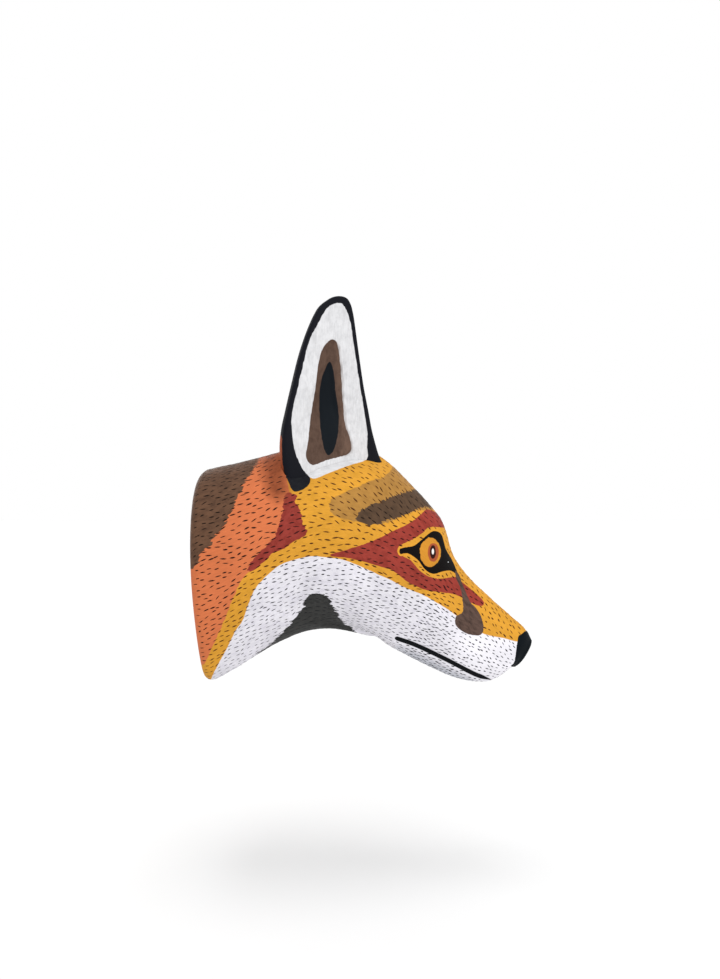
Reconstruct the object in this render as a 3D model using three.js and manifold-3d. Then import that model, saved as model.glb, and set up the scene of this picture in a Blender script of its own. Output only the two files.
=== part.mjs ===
// A carved and painted wooden fox head that hangs on a wall.
//
// The head is one block of soft copal wood: neck, skull, cheeks and muzzle. Its flat back lies on
// the wall, and a pocket cut into that back holds a folded strap, its swinging D-ring and two
// screws, so the head hangs flush. The two ears are carved apart from the block. Each one stands in
// a shallow saddle on the crown, on two wooden pegs, and pulls off along them.
//
// Millimetres. +X points out of the wall towards the nose, +Z up, +Y to the fox's left.
// The origin is the middle of the back face, on the wall.

import * as THREE from 'three';
import { mergeVertices } from 'three/addons/utils/BufferGeometryUtils.js';
import Module from 'manifold-3d';

const wasm = await Module();
wasm.setup();

// ---------------------------------------------------------------- driving dimensions

const GAP = 0.3; // clearance between touching pieces
const HEAD_SIDES = 40; // points round each section of the head
const HEAD_RINGS = 36; // sections from the neck to the nose
const RIM_ROUND = { top: 3.5, bottom: 9 }; // softened edge where the neck meets the wall

// The head as sections from the wall to the nose. Each gives the top and the bottom of its outline
// as [x, z], its half width, and how far the widest part sits above the middle (skew).
const SECTIONS = [
  { top: [0, 65], bottom: [0, -65.5], half: 51, skew: 0.42 }, // at the wall
  { top: [27, 71], bottom: [24, -54.5], half: 52, skew: 0.36 }, // neck
  { top: [54, 77.5], bottom: [47, -40.5], half: 52, skew: 0.26 }, // nape
  { top: [80, 81], bottom: [66, -33.5], half: 51, skew: 0.14 }, // crown
  { top: [106, 75], bottom: [84, -33.3], half: 48, skew: 0.04 }, // forehead
  { top: [129, 55], bottom: [104, -38.5], half: 41.5, skew: -0.02 }, // brow
  { top: [146, 34.5], bottom: [123, -48], half: 32.5, skew: -0.03 }, // eyes
  { top: [156, 9], bottom: [139, -56], half: 25, skew: 0 }, // bridge
  { top: [174, -11], bottom: [155, -63], half: 19.5, skew: 0 }, // muzzle
  { top: [189, -24.5], bottom: [171, -66], half: 15.5, skew: 0 }, // upper lip
  { top: [197.5, -32], bottom: [181, -63], half: 12, skew: 0.05 }, // nose pad
  { top: [201.5, -39], bottom: [189.5, -56.5], half: 7, skew: 0.05 }, // front of the nose
];
const NOSE_TIP = [199, -45];
const RIM_END = 0.036; // where along the head the rim's rounding ends

const CROWN_FLAT = 0.22; // how much flatter than an oval the crown is

// The low shoulder that swells behind and round each ear.
const SHOULDER = { x: 56, y: 33, length: 13, width: 12, height: 4.5 };

// The ear stands on its foot point, leans out at its tip and turns its hollow a little forward.
const EAR = { foot: [79, -27, 60], leanOut: 7, leanForward: 1.5, turn: 30 };
// Sections up the ear: height over the foot point, the rear and front edge along the chord, the
// thickness, and how deep the hollow face is dished.
const EAR_SECTIONS = [
  { h: -18, rear: -28, front: 34, thick: 13.6, dish: 0.6 },
  { h: 4, rear: -31, front: 34.5, thick: 13.6, dish: 0.6 },
  { h: 16, rear: -32.8, front: 32, thick: 13, dish: 2.2 },
  { h: 28, rear: -32.2, front: 27.2, thick: 12, dish: 3.6 },
  { h: 40, rear: -29.7, front: 23.6, thick: 11, dish: 4 },
  { h: 54, rear: -26.4, front: 19.8, thick: 10, dish: 3.4 },
  { h: 70, rear: -22.4, front: 16.6, thick: 9, dish: 2.6 },
  { h: 84, rear: -17.6, front: 14, thick: 7.8, dish: 1.6 },
  { h: 95.5, rear: -11.4, front: 11.8, thick: 6.6, dish: 0.8 },
  { h: 103, rear: -5.4, front: 9.4, thick: 5, dish: 0.2 },
];
const EAR_TIP = { h: 105.6, along: 3 };
const EAR_SIDES = 24;
const EAR_RINGS = 20;
const SADDLE_DEPTH = 3; // how far the foot of an ear sinks into the head

// The pegs cross the saddle at this height over the foot point, a little behind the hollow face.
const PEG = { radius: 3, length: 26, inHead: 13, seat: 11, back: 1.1, spacing: 25, chamfer: 0.8, sides: 20 };

const POCKET = { width: 34, low: 7, high: 53, depth: 10, corner: 8 };

const STRAP = { width: 13, thick: 1.8, eyeWall: 1, low: 8.5, lap: 1.6, eyeHeight: 30, holeRadius: 2.2 };
const RING = {
  wire: 1.2, halfBar: 7.6, halfWidth: 11, height: 18, corner: 3.4, shoulder: 6.5,
  lean: 3.5, split: 0.25, steps: 44,
};
const SCREW = {
  heights: [13, 21.5], head: 3.6, headHigh: 2.2, shank: 1.2, thread: 1.7, length: 15,
  plain: 2, pitch: 1.8, point: 2.5, slot: 0.75, slotDeep: 1,
};

// ---------------------------------------------------------------- small helpers

const radians = THREE.MathUtils.degToRad;
const lerp = THREE.MathUtils.lerp;

// A smooth curve through values given at even steps, read at t from 0 to 1.
function smoothThrough(values) {
  const knots = values.map((v) => new THREE.Vector3(...v));
  const curve = new THREE.CatmullRomCurve3(knots, false, 'catmullrom', 0.5);
  return (t) => curve.getPoint(t);
}

// A closed skin over rings of points, capped by a point at each end.
function skin(rings, firstCap, lastCap) {
  const sides = rings[0].length;
  const points = [firstCap, ...rings.flat(), lastCap];
  const last = points.length - 1;
  const at = (ring, side) => 1 + ring * sides + (side % sides);
  const index = [];
  for (let s = 0; s < sides; s++) {
    index.push(0, at(0, s + 1), at(0, s));
    for (let r = 0; r + 1 < rings.length; r++) {
      index.push(at(r, s), at(r, s + 1), at(r + 1, s));
      index.push(at(r, s + 1), at(r + 1, s + 1), at(r + 1, s));
    }
    index.push(last, at(rings.length - 1, s), at(rings.length - 1, s + 1));
  }
  const geometry = new THREE.BufferGeometry().setFromPoints(points);
  geometry.setIndex(index);
  return geometry;
}

function solid(geometry) {
  const bare = geometry.clone();
  bare.deleteAttribute('normal');
  bare.deleteAttribute('uv');
  const merged = mergeVertices(bare, 1e-4);
  return new wasm.Manifold(new wasm.Mesh({
    numProp: 3,
    vertProperties: new Float32Array(merged.attributes.position.array),
    triVerts: new Uint32Array(merged.index.array),
  }));
}

function geometryOf(manifold) {
  const mesh = manifold.getMesh();
  const geometry = new THREE.BufferGeometry();
  geometry.setAttribute('position', new THREE.BufferAttribute(new Float32Array(mesh.vertProperties), 3));
  geometry.setIndex(new THREE.BufferAttribute(new Uint32Array(mesh.triVerts), 1));
  geometry.computeVertexNormals();
  return geometry;
}

// A cylinder whose axis runs from one point to another.
function rod(from, to, radius, sides = 20) {
  const direction = to.clone().sub(from);
  const geometry = new THREE.CylinderGeometry(radius, radius, direction.length(), sides);
  geometry.applyQuaternion(new THREE.Quaternion().setFromUnitVectors(
    new THREE.Vector3(0, 1, 0), direction.clone().normalize()));
  const middle = from.clone().add(to).multiplyScalar(0.5);
  return geometry.translate(middle.x, middle.y, middle.z);
}

// ---------------------------------------------------------------- the head

const sectionAt = {
  top: smoothThrough(SECTIONS.map((s) => [s.top[0], 0, s.top[1]])),
  bottom: smoothThrough(SECTIONS.map((s) => [s.bottom[0], 0, s.bottom[1]])),
  shape: smoothThrough(SECTIONS.map((s) => [s.half, s.skew, 0])),
};

// A point on the head: t runs from the wall (0) to the nose (1), angle from the top line round the
// side. The inset shrinks the section all round.
function headPoint(t, angle, inset) {
  const top = sectionAt.top(t);
  const bottom = sectionAt.bottom(t);
  const shape = sectionAt.shape(t);
  const middle = top.clone().add(bottom).multiplyScalar(0.5);
  const up = top.clone().sub(bottom);
  const halfHeight = up.length() / 2;
  up.normalize();
  const upper = Math.max(0, Math.cos(angle));
  const round = Math.pow(Math.abs(Math.sin(angle)), 1 - CROWN_FLAT * upper * upper);
  const across = -Math.sign(Math.sin(angle)) * round * (1 + shape.y * Math.cos(angle)) * (shape.x - inset);
  const point = middle.addScaledVector(up, Math.cos(angle) * (halfHeight - inset));
  point.y = across;
  const dx = (point.x - SHOULDER.x) / SHOULDER.length;
  const dy = (Math.abs(point.y) - SHOULDER.y) / SHOULDER.width;
  const rise = point.z > 0 ? SHOULDER.height * Math.exp(-dx * dx - dy * dy) : 0;
  point.z += rise;
  return point;
}

function headRing(t, inset) {
  const ring = [];
  for (let s = 0; s < HEAD_SIDES; s++) ring.push(headPoint(t, (s / HEAD_SIDES) * 2 * Math.PI, inset));
  return ring;
}

// A ring of the rounded rim: step runs from the back face (0) to the full section (1).
function rimRing(step, inset) {
  const turn = (step * Math.PI) / 2;
  const ring = [];
  for (let s = 0; s < HEAD_SIDES; s++) {
    const angle = (s / HEAD_SIDES) * 2 * Math.PI;
    const round = lerp(RIM_ROUND.top, RIM_ROUND.bottom, (1 - Math.cos(angle)) / 2);
    const point = headPoint(0, angle, inset + round * (1 - Math.sin(turn)));
    point.x += round * (1 - Math.cos(turn));
    ring.push(point);
  }
  return ring;
}

function headSkin(inset) {
  const rings = [];
  for (const step of [0, 0.35, 0.7]) rings.push(rimRing(step, inset));
  for (let r = 0; r <= HEAD_RINGS; r++) rings.push(headRing(lerp(RIM_END, 1, r / HEAD_RINGS), inset));
  const back = new THREE.Vector3(0, 0, 0);
  const nose = new THREE.Vector3(NOSE_TIP[0] - inset, 0, NOSE_TIP[1]);
  return skin(rings, back, nose);
}

// ---------------------------------------------------------------- the ears, built for the right side

const earFrame = new THREE.Group();
earFrame.position.set(...EAR.foot);
earFrame.rotation.set(radians(EAR.leanOut), radians(EAR.leanForward), 0, 'XYZ');
const earTurn = new THREE.Group();
earTurn.rotation.z = radians(EAR.turn);
earFrame.add(earTurn);
earFrame.updateMatrixWorld(true);
const earMatrix = earTurn.matrixWorld; // from the ear's own frame to the head's
const earAxis = new THREE.Vector3(0, 0, 1).transformDirection(earMatrix);

const earAt = {
  edges: smoothThrough(EAR_SECTIONS.map((s) => [s.rear, s.front, s.h])),
  body: smoothThrough(EAR_SECTIONS.map((s) => [s.thick, s.dish, 0])),
};

// One section of the ear: a flat oval whose outer face (towards -Y) is dished.
function earRing(t, grow) {
  const edges = earAt.edges(t);
  const body = earAt.body(t);
  const middle = (edges.x + edges.y) / 2;
  const half = (edges.y - edges.x) / 2 + grow;
  const ring = [];
  for (let s = 0; s < EAR_SIDES; s++) {
    const angle = (s / EAR_SIDES) * 2 * Math.PI;
    const along = Math.cos(angle);
    const side = Math.sin(angle);
    let out = Math.sign(side) * Math.sqrt(Math.abs(side)) * (body.x / 2 + grow);
    if (side < 0) out += body.y * Math.pow(1 - along * along, 1.5);
    ring.push(new THREE.Vector3(middle + along * half, out, edges.z).applyMatrix4(earMatrix));
  }
  return ring;
}

function earBlade(grow) {
  const rings = [];
  for (let r = 0; r <= EAR_RINGS; r++) rings.push(earRing(r / EAR_RINGS, grow));
  const low = EAR_SECTIONS[0];
  const foot = new THREE.Vector3((low.rear + low.front) / 2, 0, low.h).applyMatrix4(earMatrix);
  const tip = new THREE.Vector3(EAR_TIP.along, 0, EAR_TIP.h + grow).applyMatrix4(earMatrix);
  return skin(rings, foot, tip);
}

// The pegs stand in the foot of the ear, side by side along its chord.
const EAR_MIDDLE = (EAR_SECTIONS[0].rear + EAR_SECTIONS[0].front) / 2;
function pegEnds(offset, extra = 0) {
  const place = (h) => new THREE.Vector3(EAR_MIDDLE + offset, PEG.back, h).applyMatrix4(earMatrix);
  const low = PEG.seat - PEG.inHead;
  return [place(low - extra), place(low + PEG.length + extra)];
}

function pegGeometry(offset) {
  const half = PEG.length / 2;
  const profile = [
    [0, -half], [PEG.radius - PEG.chamfer, -half], [PEG.radius, -half + PEG.chamfer],
    [PEG.radius, half - PEG.chamfer], [PEG.radius - PEG.chamfer, half], [0, half],
  ].map((p) => new THREE.Vector2(...p));
  const [low, high] = pegEnds(offset);
  const geometry = new THREE.LatheGeometry(profile, PEG.sides);
  geometry.applyQuaternion(new THREE.Quaternion().setFromUnitVectors(
    new THREE.Vector3(0, 1, 0), high.clone().sub(low).normalize()));
  const middle = low.clone().add(high).multiplyScalar(0.5);
  return geometry.translate(middle.x, middle.y, middle.z);
}

function mirrored(manifold) {
  return manifold.mirror([0, 1, 0]);
}

// ---------------------------------------------------------------- the hanger in its pocket

// The pocket is a rounded rectangle sunk into the back face.
function pocketGeometry() {
  const shape = new THREE.Shape();
  const w = POCKET.width / 2;
  const r = POCKET.corner;
  shape.moveTo(-w + r, POCKET.low);
  shape.lineTo(w - r, POCKET.low);
  shape.absarc(w - r, POCKET.low + r, r, -Math.PI / 2, 0);
  shape.absarc(w - r, POCKET.high - r, r, 0, Math.PI / 2);
  shape.absarc(-w + r, POCKET.high - r, r, Math.PI / 2, Math.PI);
  shape.absarc(-w + r, POCKET.low + r, r, Math.PI, 1.5 * Math.PI);
  const deep = { depth: POCKET.depth + 1, bevelEnabled: false, curveSegments: 6 };
  const geometry = new THREE.ExtrudeGeometry(shape, deep);
  // drawn in Y and Z, sunk along +X
  geometry.applyMatrix4(new THREE.Matrix4().makeBasis(
    new THREE.Vector3(0, 1, 0), new THREE.Vector3(0, 0, 1), new THREE.Vector3(1, 0, 0)));
  return geometry.translate(-1, 0, 0);
}

const EYE_BORE = RING.wire + GAP; // the strap's eye, round the ring's bar
const EYE_OUTER = EYE_BORE + STRAP.eyeWall;
const STRAP_BACK = POCKET.depth - GAP; // the strap lies on the pocket's floor
const EYE_X = STRAP_BACK - EYE_OUTER; // the ring's pivot
const PIVOT = new THREE.Vector3(EYE_X, 0, STRAP.eyeHeight);

// The strap is sheet folded round the ring's bar: a tongue with an eye at its upper end.
function strapGeometry() {
  const shape = new THREE.Shape();
  const front = STRAP_BACK - STRAP.thick;
  const meet = Math.asin((EYE_X - front) / EYE_OUTER);
  shape.moveTo(front, STRAP.low + STRAP.lap);
  shape.lineTo(front + STRAP.thick / 2, STRAP.low + STRAP.lap);
  shape.lineTo(front + STRAP.thick / 2, STRAP.low);
  shape.lineTo(STRAP_BACK, STRAP.low);
  shape.lineTo(STRAP_BACK, STRAP.eyeHeight);
  shape.absarc(EYE_X, STRAP.eyeHeight, EYE_OUTER, 0, 1.5 * Math.PI + Math.abs(meet), false);
  shape.closePath();
  const eye = new THREE.Path();
  eye.absarc(EYE_X, STRAP.eyeHeight, EYE_BORE, 0, 2 * Math.PI, false);
  shape.holes.push(eye);
  const wide = { depth: STRAP.width, bevelEnabled: false, curveSegments: 12 };
  const geometry = new THREE.ExtrudeGeometry(shape, wide);
  // drawn in X and Z, so the sheet's width runs along Y
  geometry.rotateX(Math.PI / 2);
  return geometry.translate(0, STRAP.width / 2, 0);
}

// The D-ring is wire bent round, its two ends meeting inside the eye.
class RingPath extends THREE.CurvePath {
  constructor() {
    super();
    const { split, halfBar, halfWidth, height, corner, shoulder } = RING;
    const top = [0, height];
    const half = (side) => {
      const at = (y, z) => new THREE.Vector3(0, side * y, z);
      return [
        new THREE.LineCurve3(at(split, 0), at(halfBar, 0)),
        new THREE.QuadraticBezierCurve3(at(halfBar, 0), at(halfWidth, 0), at(halfWidth, corner)),
        new THREE.CubicBezierCurve3(at(halfWidth, corner), at(halfWidth, corner + shoulder),
          at(shoulder, height), at(...top)),
      ];
    };
    const [barLeft, cornerLeft, archLeft] = half(1);
    const [barRight, cornerRight, archRight] = half(-1);
    this.add(barLeft);
    this.add(cornerLeft);
    this.add(archLeft);
    this.add(new THREE.CubicBezierCurve3(archRight.v3, archRight.v2, archRight.v1, archRight.v0));
    this.add(new THREE.QuadraticBezierCurve3(cornerRight.v2, cornerRight.v1, cornerRight.v0));
    this.add(new THREE.LineCurve3(barRight.v2, barRight.v1));
  }
}

function ringGeometry() {
  const wire = new THREE.Shape();
  wire.absarc(0, 0, RING.wire, 0, 2 * Math.PI);
  const geometry = new THREE.ExtrudeGeometry(wire, {
    steps: RING.steps, curveSegments: 5, bevelEnabled: false, extrudePath: new RingPath(),
  });
  geometry.rotateY(radians(RING.lean));
  return geometry.translate(PIVOT.x, PIVOT.y, PIVOT.z);
}

// A pan-head wood screw turned about its axis, the head below zero and the point above.
function screwProfile() {
  const { head, headHigh, shank, thread, length, plain, pitch, point } = SCREW;
  const profile = [
    [0, -headHigh], [head * 0.55, -headHigh], [head * 0.86, -headHigh * 0.72], [head, -headHigh * 0.3],
    [head, 0], [shank, 0], [shank, plain],
  ];
  for (let at = plain + pitch / 4; at + pitch < length - point; at += pitch) {
    profile.push([shank, at], [thread, at + pitch * 0.4], [shank, at + pitch * 0.8]);
  }
  profile.push([shank, length - point], [0, length]);
  return profile.map((p) => new THREE.Vector2(...p));
}

// The screw driven through the strap at a height, with a cross slot in its head.
function screwSolid(height) {
  const strapFace = STRAP_BACK - STRAP.thick;
  let made = solid(new THREE.LatheGeometry(screwProfile(), 16).rotateZ(-Math.PI / 2));
  const blade = [SCREW.head * 1.1, SCREW.slot];
  for (const [y, z] of [blade, [...blade].reverse()]) {
    made = made.subtract(solid(new THREE.BoxGeometry(2 * SCREW.slotDeep, y, z).translate(-SCREW.headHigh, 0, 0)));
  }
  return made.translate([strapFace - GAP / 2, 0, height]);
}

// ---------------------------------------------------------------- joining and cutting

function cutHead() {
  let block = solid(headSkin(0));
  const deep = solid(headSkin(SADDLE_DEPTH + GAP));
  const saddle = solid(earBlade(GAP)).subtract(deep);
  block = block.subtract(saddle).subtract(mirrored(saddle));
  for (const offset of [-PEG.spacing / 2, PEG.spacing / 2]) {
    const [low, high] = pegEnds(offset, GAP);
    const hole = solid(rod(low, high, PEG.radius + GAP, PEG.sides));
    block = block.subtract(hole).subtract(mirrored(hole));
  }
  block = block.subtract(solid(pocketGeometry()));
  for (const height of SCREW.heights) {
    const pilot = rod(new THREE.Vector3(POCKET.depth - 1, 0, height),
      new THREE.Vector3(POCKET.depth + SCREW.length, 0, height), SCREW.thread + GAP, 16);
    block = block.subtract(solid(pilot));
  }
  return block;
}

function cutEar() {
  let blade = solid(earBlade(0)).subtract(solid(headSkin(SADDLE_DEPTH)));
  for (const offset of [-PEG.spacing / 2, PEG.spacing / 2]) {
    const [low, high] = pegEnds(offset, GAP);
    blade = blade.subtract(solid(rod(low, high, PEG.radius + GAP, PEG.sides)));
  }
  return blade;
}

function cutStrap() {
  let strap = solid(strapGeometry());
  for (const height of SCREW.heights) {
    const through = [new THREE.Vector3(0, 0, height), new THREE.Vector3(POCKET.depth + 2, 0, height)];
    strap = strap.subtract(solid(rod(...through, STRAP.holeRadius)));
  }
  return strap;
}

// ---------------------------------------------------------------- materials and assembly

const paint = {
  amber: new THREE.MeshStandardMaterial({ color: 0xe8a531, roughness: 0.55, metalness: 0 }),
  earBlack: new THREE.MeshStandardMaterial({ color: 0x1c2024, roughness: 0.5, metalness: 0 }),
};
const bareWood = new THREE.MeshStandardMaterial({ color: 0xd9bd8b, roughness: 0.75, metalness: 0 });
const zinc = new THREE.MeshStandardMaterial({ color: 0xb9b5a6, roughness: 0.35, metalness: 1 });

const fox = new THREE.Group();
fox.name = 'fox_head';

function add(name, geometry, material) {
  const mesh = new THREE.Mesh(geometry, material);
  mesh.name = name;
  fox.add(mesh);
  return mesh;
}

add('head_block', geometryOf(cutHead()), paint.amber);

const ear = cutEar();
add('right_ear', geometryOf(ear), paint.earBlack);
add('left_ear', geometryOf(mirrored(ear)), paint.earBlack);
for (const [place, offset] of [['rear', -PEG.spacing / 2], ['front', PEG.spacing / 2]]) {
  const peg = solid(pegGeometry(offset));
  add(`right_ear_${place}_peg`, geometryOf(peg), bareWood);
  add(`left_ear_${place}_peg`, geometryOf(mirrored(peg)), bareWood);
}

add('hanger_strap', geometryOf(cutStrap()), zinc);
add('hanger_ring', ringGeometry(), zinc);
add('hanger_lower_screw', geometryOf(screwSolid(SCREW.heights[0])), zinc);
add('hanger_upper_screw', geometryOf(screwSolid(SCREW.heights[1])), zinc);

export default fox;
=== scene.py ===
import math
import random

import bpy
import numpy as np
from mathutils import Matrix, Vector, noise
from mathutils.bvhtree import BVHTree
from mathutils.kdtree import KDTree


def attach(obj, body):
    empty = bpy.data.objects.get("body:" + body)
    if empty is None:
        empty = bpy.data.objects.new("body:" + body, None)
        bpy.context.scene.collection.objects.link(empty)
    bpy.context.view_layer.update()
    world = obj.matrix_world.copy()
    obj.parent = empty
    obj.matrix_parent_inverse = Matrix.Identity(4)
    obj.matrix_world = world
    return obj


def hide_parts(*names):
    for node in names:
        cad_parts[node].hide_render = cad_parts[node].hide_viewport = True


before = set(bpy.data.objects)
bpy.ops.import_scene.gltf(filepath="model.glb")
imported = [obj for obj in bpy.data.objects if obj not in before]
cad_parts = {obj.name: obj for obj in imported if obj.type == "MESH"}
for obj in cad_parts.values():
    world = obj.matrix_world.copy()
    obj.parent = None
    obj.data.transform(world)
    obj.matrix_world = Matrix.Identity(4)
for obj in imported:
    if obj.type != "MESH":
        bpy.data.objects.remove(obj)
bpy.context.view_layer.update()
bpy.ops.object.select_all(action="DESELECT")

random.seed(11)
MM = 0.001
# a small step along or round a shape, to see which way it runs
NUDGE = 1e-3

# ------------------------------------------------------------------ the carver's measures, in millimetres

# The head as sections from the wall to the nose: the top and the bottom of each as (x, z), its half
# width, and how far its widest part sits above the middle.
HEAD_TOP = [(0, 65), (27, 71), (54, 77.5), (80, 81), (106, 75), (129, 55), (146, 34.5), (156, 9),
            (174, -11), (189, -24.5), (197.5, -32), (201.5, -39)]
HEAD_BOTTOM = [(0, -68.3), (24, -54.3), (47, -40.5), (66, -33.5), (84, -33.3), (104, -38.5), (123, -48),
               (139, -56), (155, -63), (171, -66), (181, -63), (189.5, -56.5)]
HEAD_HALF = [51, 52, 52, 51, 48, 41.5, 32.5, 25, 19.5, 15.5, 12, 7]
HEAD_SKEW = [0.42, 0.36, 0.26, 0.14, 0.04, -0.02, -0.03, 0, 0, 0, 0.05, 0.05]
CROWN_FLAT = 0.22
# How wide the edge at the wall is rounded, and the share of the head's run where the rounding has ended.
RIM_TOP = 5
RIM_BOTTOM = 9.5
RIM_END = 0.036
# The swell of the neck behind the ear.
SHOULDER = dict(x=56, y=33, length=13, width=12, height=4.5)
# The round front of the nose, past the last section.
NOSE_FRONT = np.array([2.5, 0, -1.65])
HEAD_SIDES = 240
HEAD_RINGS = 220
# One radian round the head, as the brush goes.
HEAD_GIRTH = 42

# The right ear on its foot point; the left one is its mirror image. Its lists go up from the foot:
# height, rear edge, front edge, thickness, and how hollow its face is.
EAR_FOOT = (79, -27, 60)
EAR_LEAN_OUT = 7
EAR_LEAN_FORWARD = 1.5
EAR_TURN = 30
EAR_HEIGHT = [-18, 4, 16, 28, 40, 54, 70, 84, 95.5, 103]
EAR_REAR = [-28, -31, -32.8, -32.2, -29.7, -26.4, -22.4, -17.6, -12.2, -6.8]
EAR_FRONT = [34, 34.5, 30.2, 26.2, 23.3, 19.8, 16.6, 14, 11.8, 9.4]
EAR_THICK = [13.6, 13.6, 13, 12, 11, 10, 9, 7.8, 6.6, 5]
EAR_DISH = [0.6, 0.6, 2.2, 3.6, 4, 3.4, 2.6, 1.6, 0.8, 0.2]
EAR_TIP = (3.4, 0, 105.6)
EAR_ROUND_FROM = 97.5
TIP_BENDS = [14, 27, 39, 50, 60, 69, 77, 84]
# How deep the brown field and the slit in it are carved.
BROWN_DEEP = 1.3
SLIT_DEEP = 1.5
EAR_SIDES = 112
EAR_RINGS = 96
FOOT_RINGS = 6
# The saddle in the head for the ear's foot, and how far the head is cut down around it.
SADDLE_DEPTH = 3
SADDLE_RINGS = 24
SADDLE_HEIGHT = 40
EAR_SETTLES = 2.5
SETTLE_HALF = 24
SETTLE_WIDTH = 22
FIT = 0.3

# The dowels, two to an ear, along the ear's own height; and the pocket for the hanger.
PEG_RADIUS = 3
PEG_LOW = -2
PEG_LENGTH = 26
PEG_BACK = 1.1
PEG_PLACES = {"rear": -9.5, "front": 15.5}

POCKET_HALF = 17
POCKET_LOW = 7
POCKET_HIGH = 53
POCKET_DEEP = 10
POCKET_CORNER = 8

# The painter's outlines on the side of the head, seen square on from a step away and drawn in the
# middle plane. Each goes (out from the wall, up).
SIDE_EYE = (96.1, 53.3)
SIDE_DISTANCE = 550
NECK_BROWN = [
    (-34, 90.5), (35.5, 90.5), (34, 73), (28.5, 64), (25.5, 59), (22.5, 55), (21.5, 51), (19, 47),
    (14.5, 36), (10.5, 28.5), (5, 24), (3.5, 20.5), (-1, 15), (-3, 11), (-12, 2.5), (-34, -2.5),
]
CHEEK_RED = [
    (50, 51), (56.5, 50), (56, 45.5), (58.5, 42), (60, 37), (61, 32), (63.5, 27.5), (61.5, 25),
    (52.5, 19), (43.5, 14.5), (38.5, 10), (30.5, 3.5), (26.5, 2.5), (27, 6), (33, 13.5), (38.5, 18.5),
    (43, 24), (47.5, 36.5), (48.5, 43),
]
FACE_YELLOW = [
    (52.5, 90.5), (50, 65.5), (52.5, 51), (51.5, 44), (49, 28.5), (40.5, 14.5), (27, 2), (21.5, -5),
    (17.5, -14), (12, -27.5), (4.5, -44.5), (0, -54.5), (-5.5, -70.5), (220, -89.5), (220, 10),
    (170.5, 90.5),
]
WHITE = [
    (2, -69.5), (14.5, -43.5), (19, -34), (23.5, -27.5), (28, -15), (32, -7), (40.5, 2), (47.5, 7),
    (56, 10), (66, 12), (76.5, 11), (86.5, 9.5), (99, 4.5), (107.5, 0.5), (116.5, -3.5), (125, -8),
    (134, -11.5), (143, -16.5), (152, -22), (162, -30), (173.5, -36.5), (185.5, -39), (193, -41),
    (220, -46), (220, -95.5), (2, -95.5),
]
JAW_SHADE = [
    (120, -44), (135, -50.5), (150, -57.5), (166, -65), (160, -66.5), (145, -60.5), (130, -53),
    (121, -47.5),
]
# painted light: a brighter white laid over the muzzle's front, fading softly back, where the light falls
# strongest
MUZZLE_PAINTED_LIGHT = [
    (158, -28), (205, -38), (205, -72), (166, -72), (154, -50),
]
THROAT = [
    (64, -12.5), (68.5, -11), (74.5, -12.5), (78.5, -17.5), (84.5, -27.5), (91, -33), (97.5, -39.5),
    (100, -58.5), (22, -68), (31, -50), (41, -42.5), (48.5, -34.5), (54.5, -27.5), (61, -20),
    (61.5, -16.5),
]
BROW_TAN = [
    (77, 44.5), (79.5, 48), (88, 52), (97.5, 56), (103.5, 59), (109.5, 60.5), (114, 64), (116.5, 68),
    (121, 81), (158, 47), (142, 41), (134, 40.5), (126, 38.5), (119, 35), (106.5, 31.5), (93.5, 33),
    (83.5, 35.5), (78.5, 39),
]
BROW_BAR = [
    (94, 36.5), (96, 40), (101.5, 43), (112, 47), (119, 50), (127, 52), (131.5, 55), (139.5, 62),
    (150.5, 44), (142, 42), (137.5, 42.5), (134, 42), (127, 39), (119, 35.5), (112, 34.5),
    (106.5, 31.5), (95, 32.5),
]
MASK_RED = [
    (77, 12.5), (88, 16), (99, 19.5), (107.5, 23), (116.5, 27.5), (125, 31.5), (131, 35.5), (136, 40),
    (138.5, 41), (142.5, 39.5), (147, 36.5), (149.5, 30), (139.5, 30), (135, 26.5), (129, 22.5),
    (121, 18.5), (119.5, 16), (122, 12.5), (128, 9), (132.5, 3.5), (137.5, 0), (145, -2), (155.5, -1),
    (160, -4.5), (171.5, -14.5), (173, -17.5), (171, -19), (165, -17), (160, -14), (154, -11.5),
    (143, -10), (134, -8), (125, -3.5), (116.5, 3), (105.5, 6.5), (97, 9), (87.5, 11),
]
EYE_ALMOND = [
    (120.5, 14.8), (121, 16.6), (125, 17.6), (130.5, 19), (139.5, 26.5), (143.5, 27.5), (146.5, 25.5),
    (148, 21.5), (149.5, 16), (153, 10), (156, 3), (156, 1), (152, 3), (147.5, 2.5), (142.5, 1),
    (138.5, 2), (135, 5.5), (132.5, 9), (129, 12), (125, 13.8), (121.5, 13.2),
]
TEAR = [
    (155, 3), (157.5, 0.5), (159.5, -5), (164.5, -16.5), (167, -19), (170.5, -24), (172.5, -30),
    (172.5, -34.5), (170.5, -37), (166, -37), (161, -35.5), (156, -31.5), (155, -28), (156, -25),
    (159.5, -23), (160, -18.5), (158.5, -8.5), (156, -2.5),
]
NOSE = [
    (201.5, -34), (196, -36.5), (194, -39), (192, -53), (190.5, -57), (207.5, -64.5), (214, -39.5),
]
MOUTH = [
    (117.5, -38.5), (131.5, -43.5), (150, -52.3), (167, -61), (178.5, -65),
]
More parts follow.
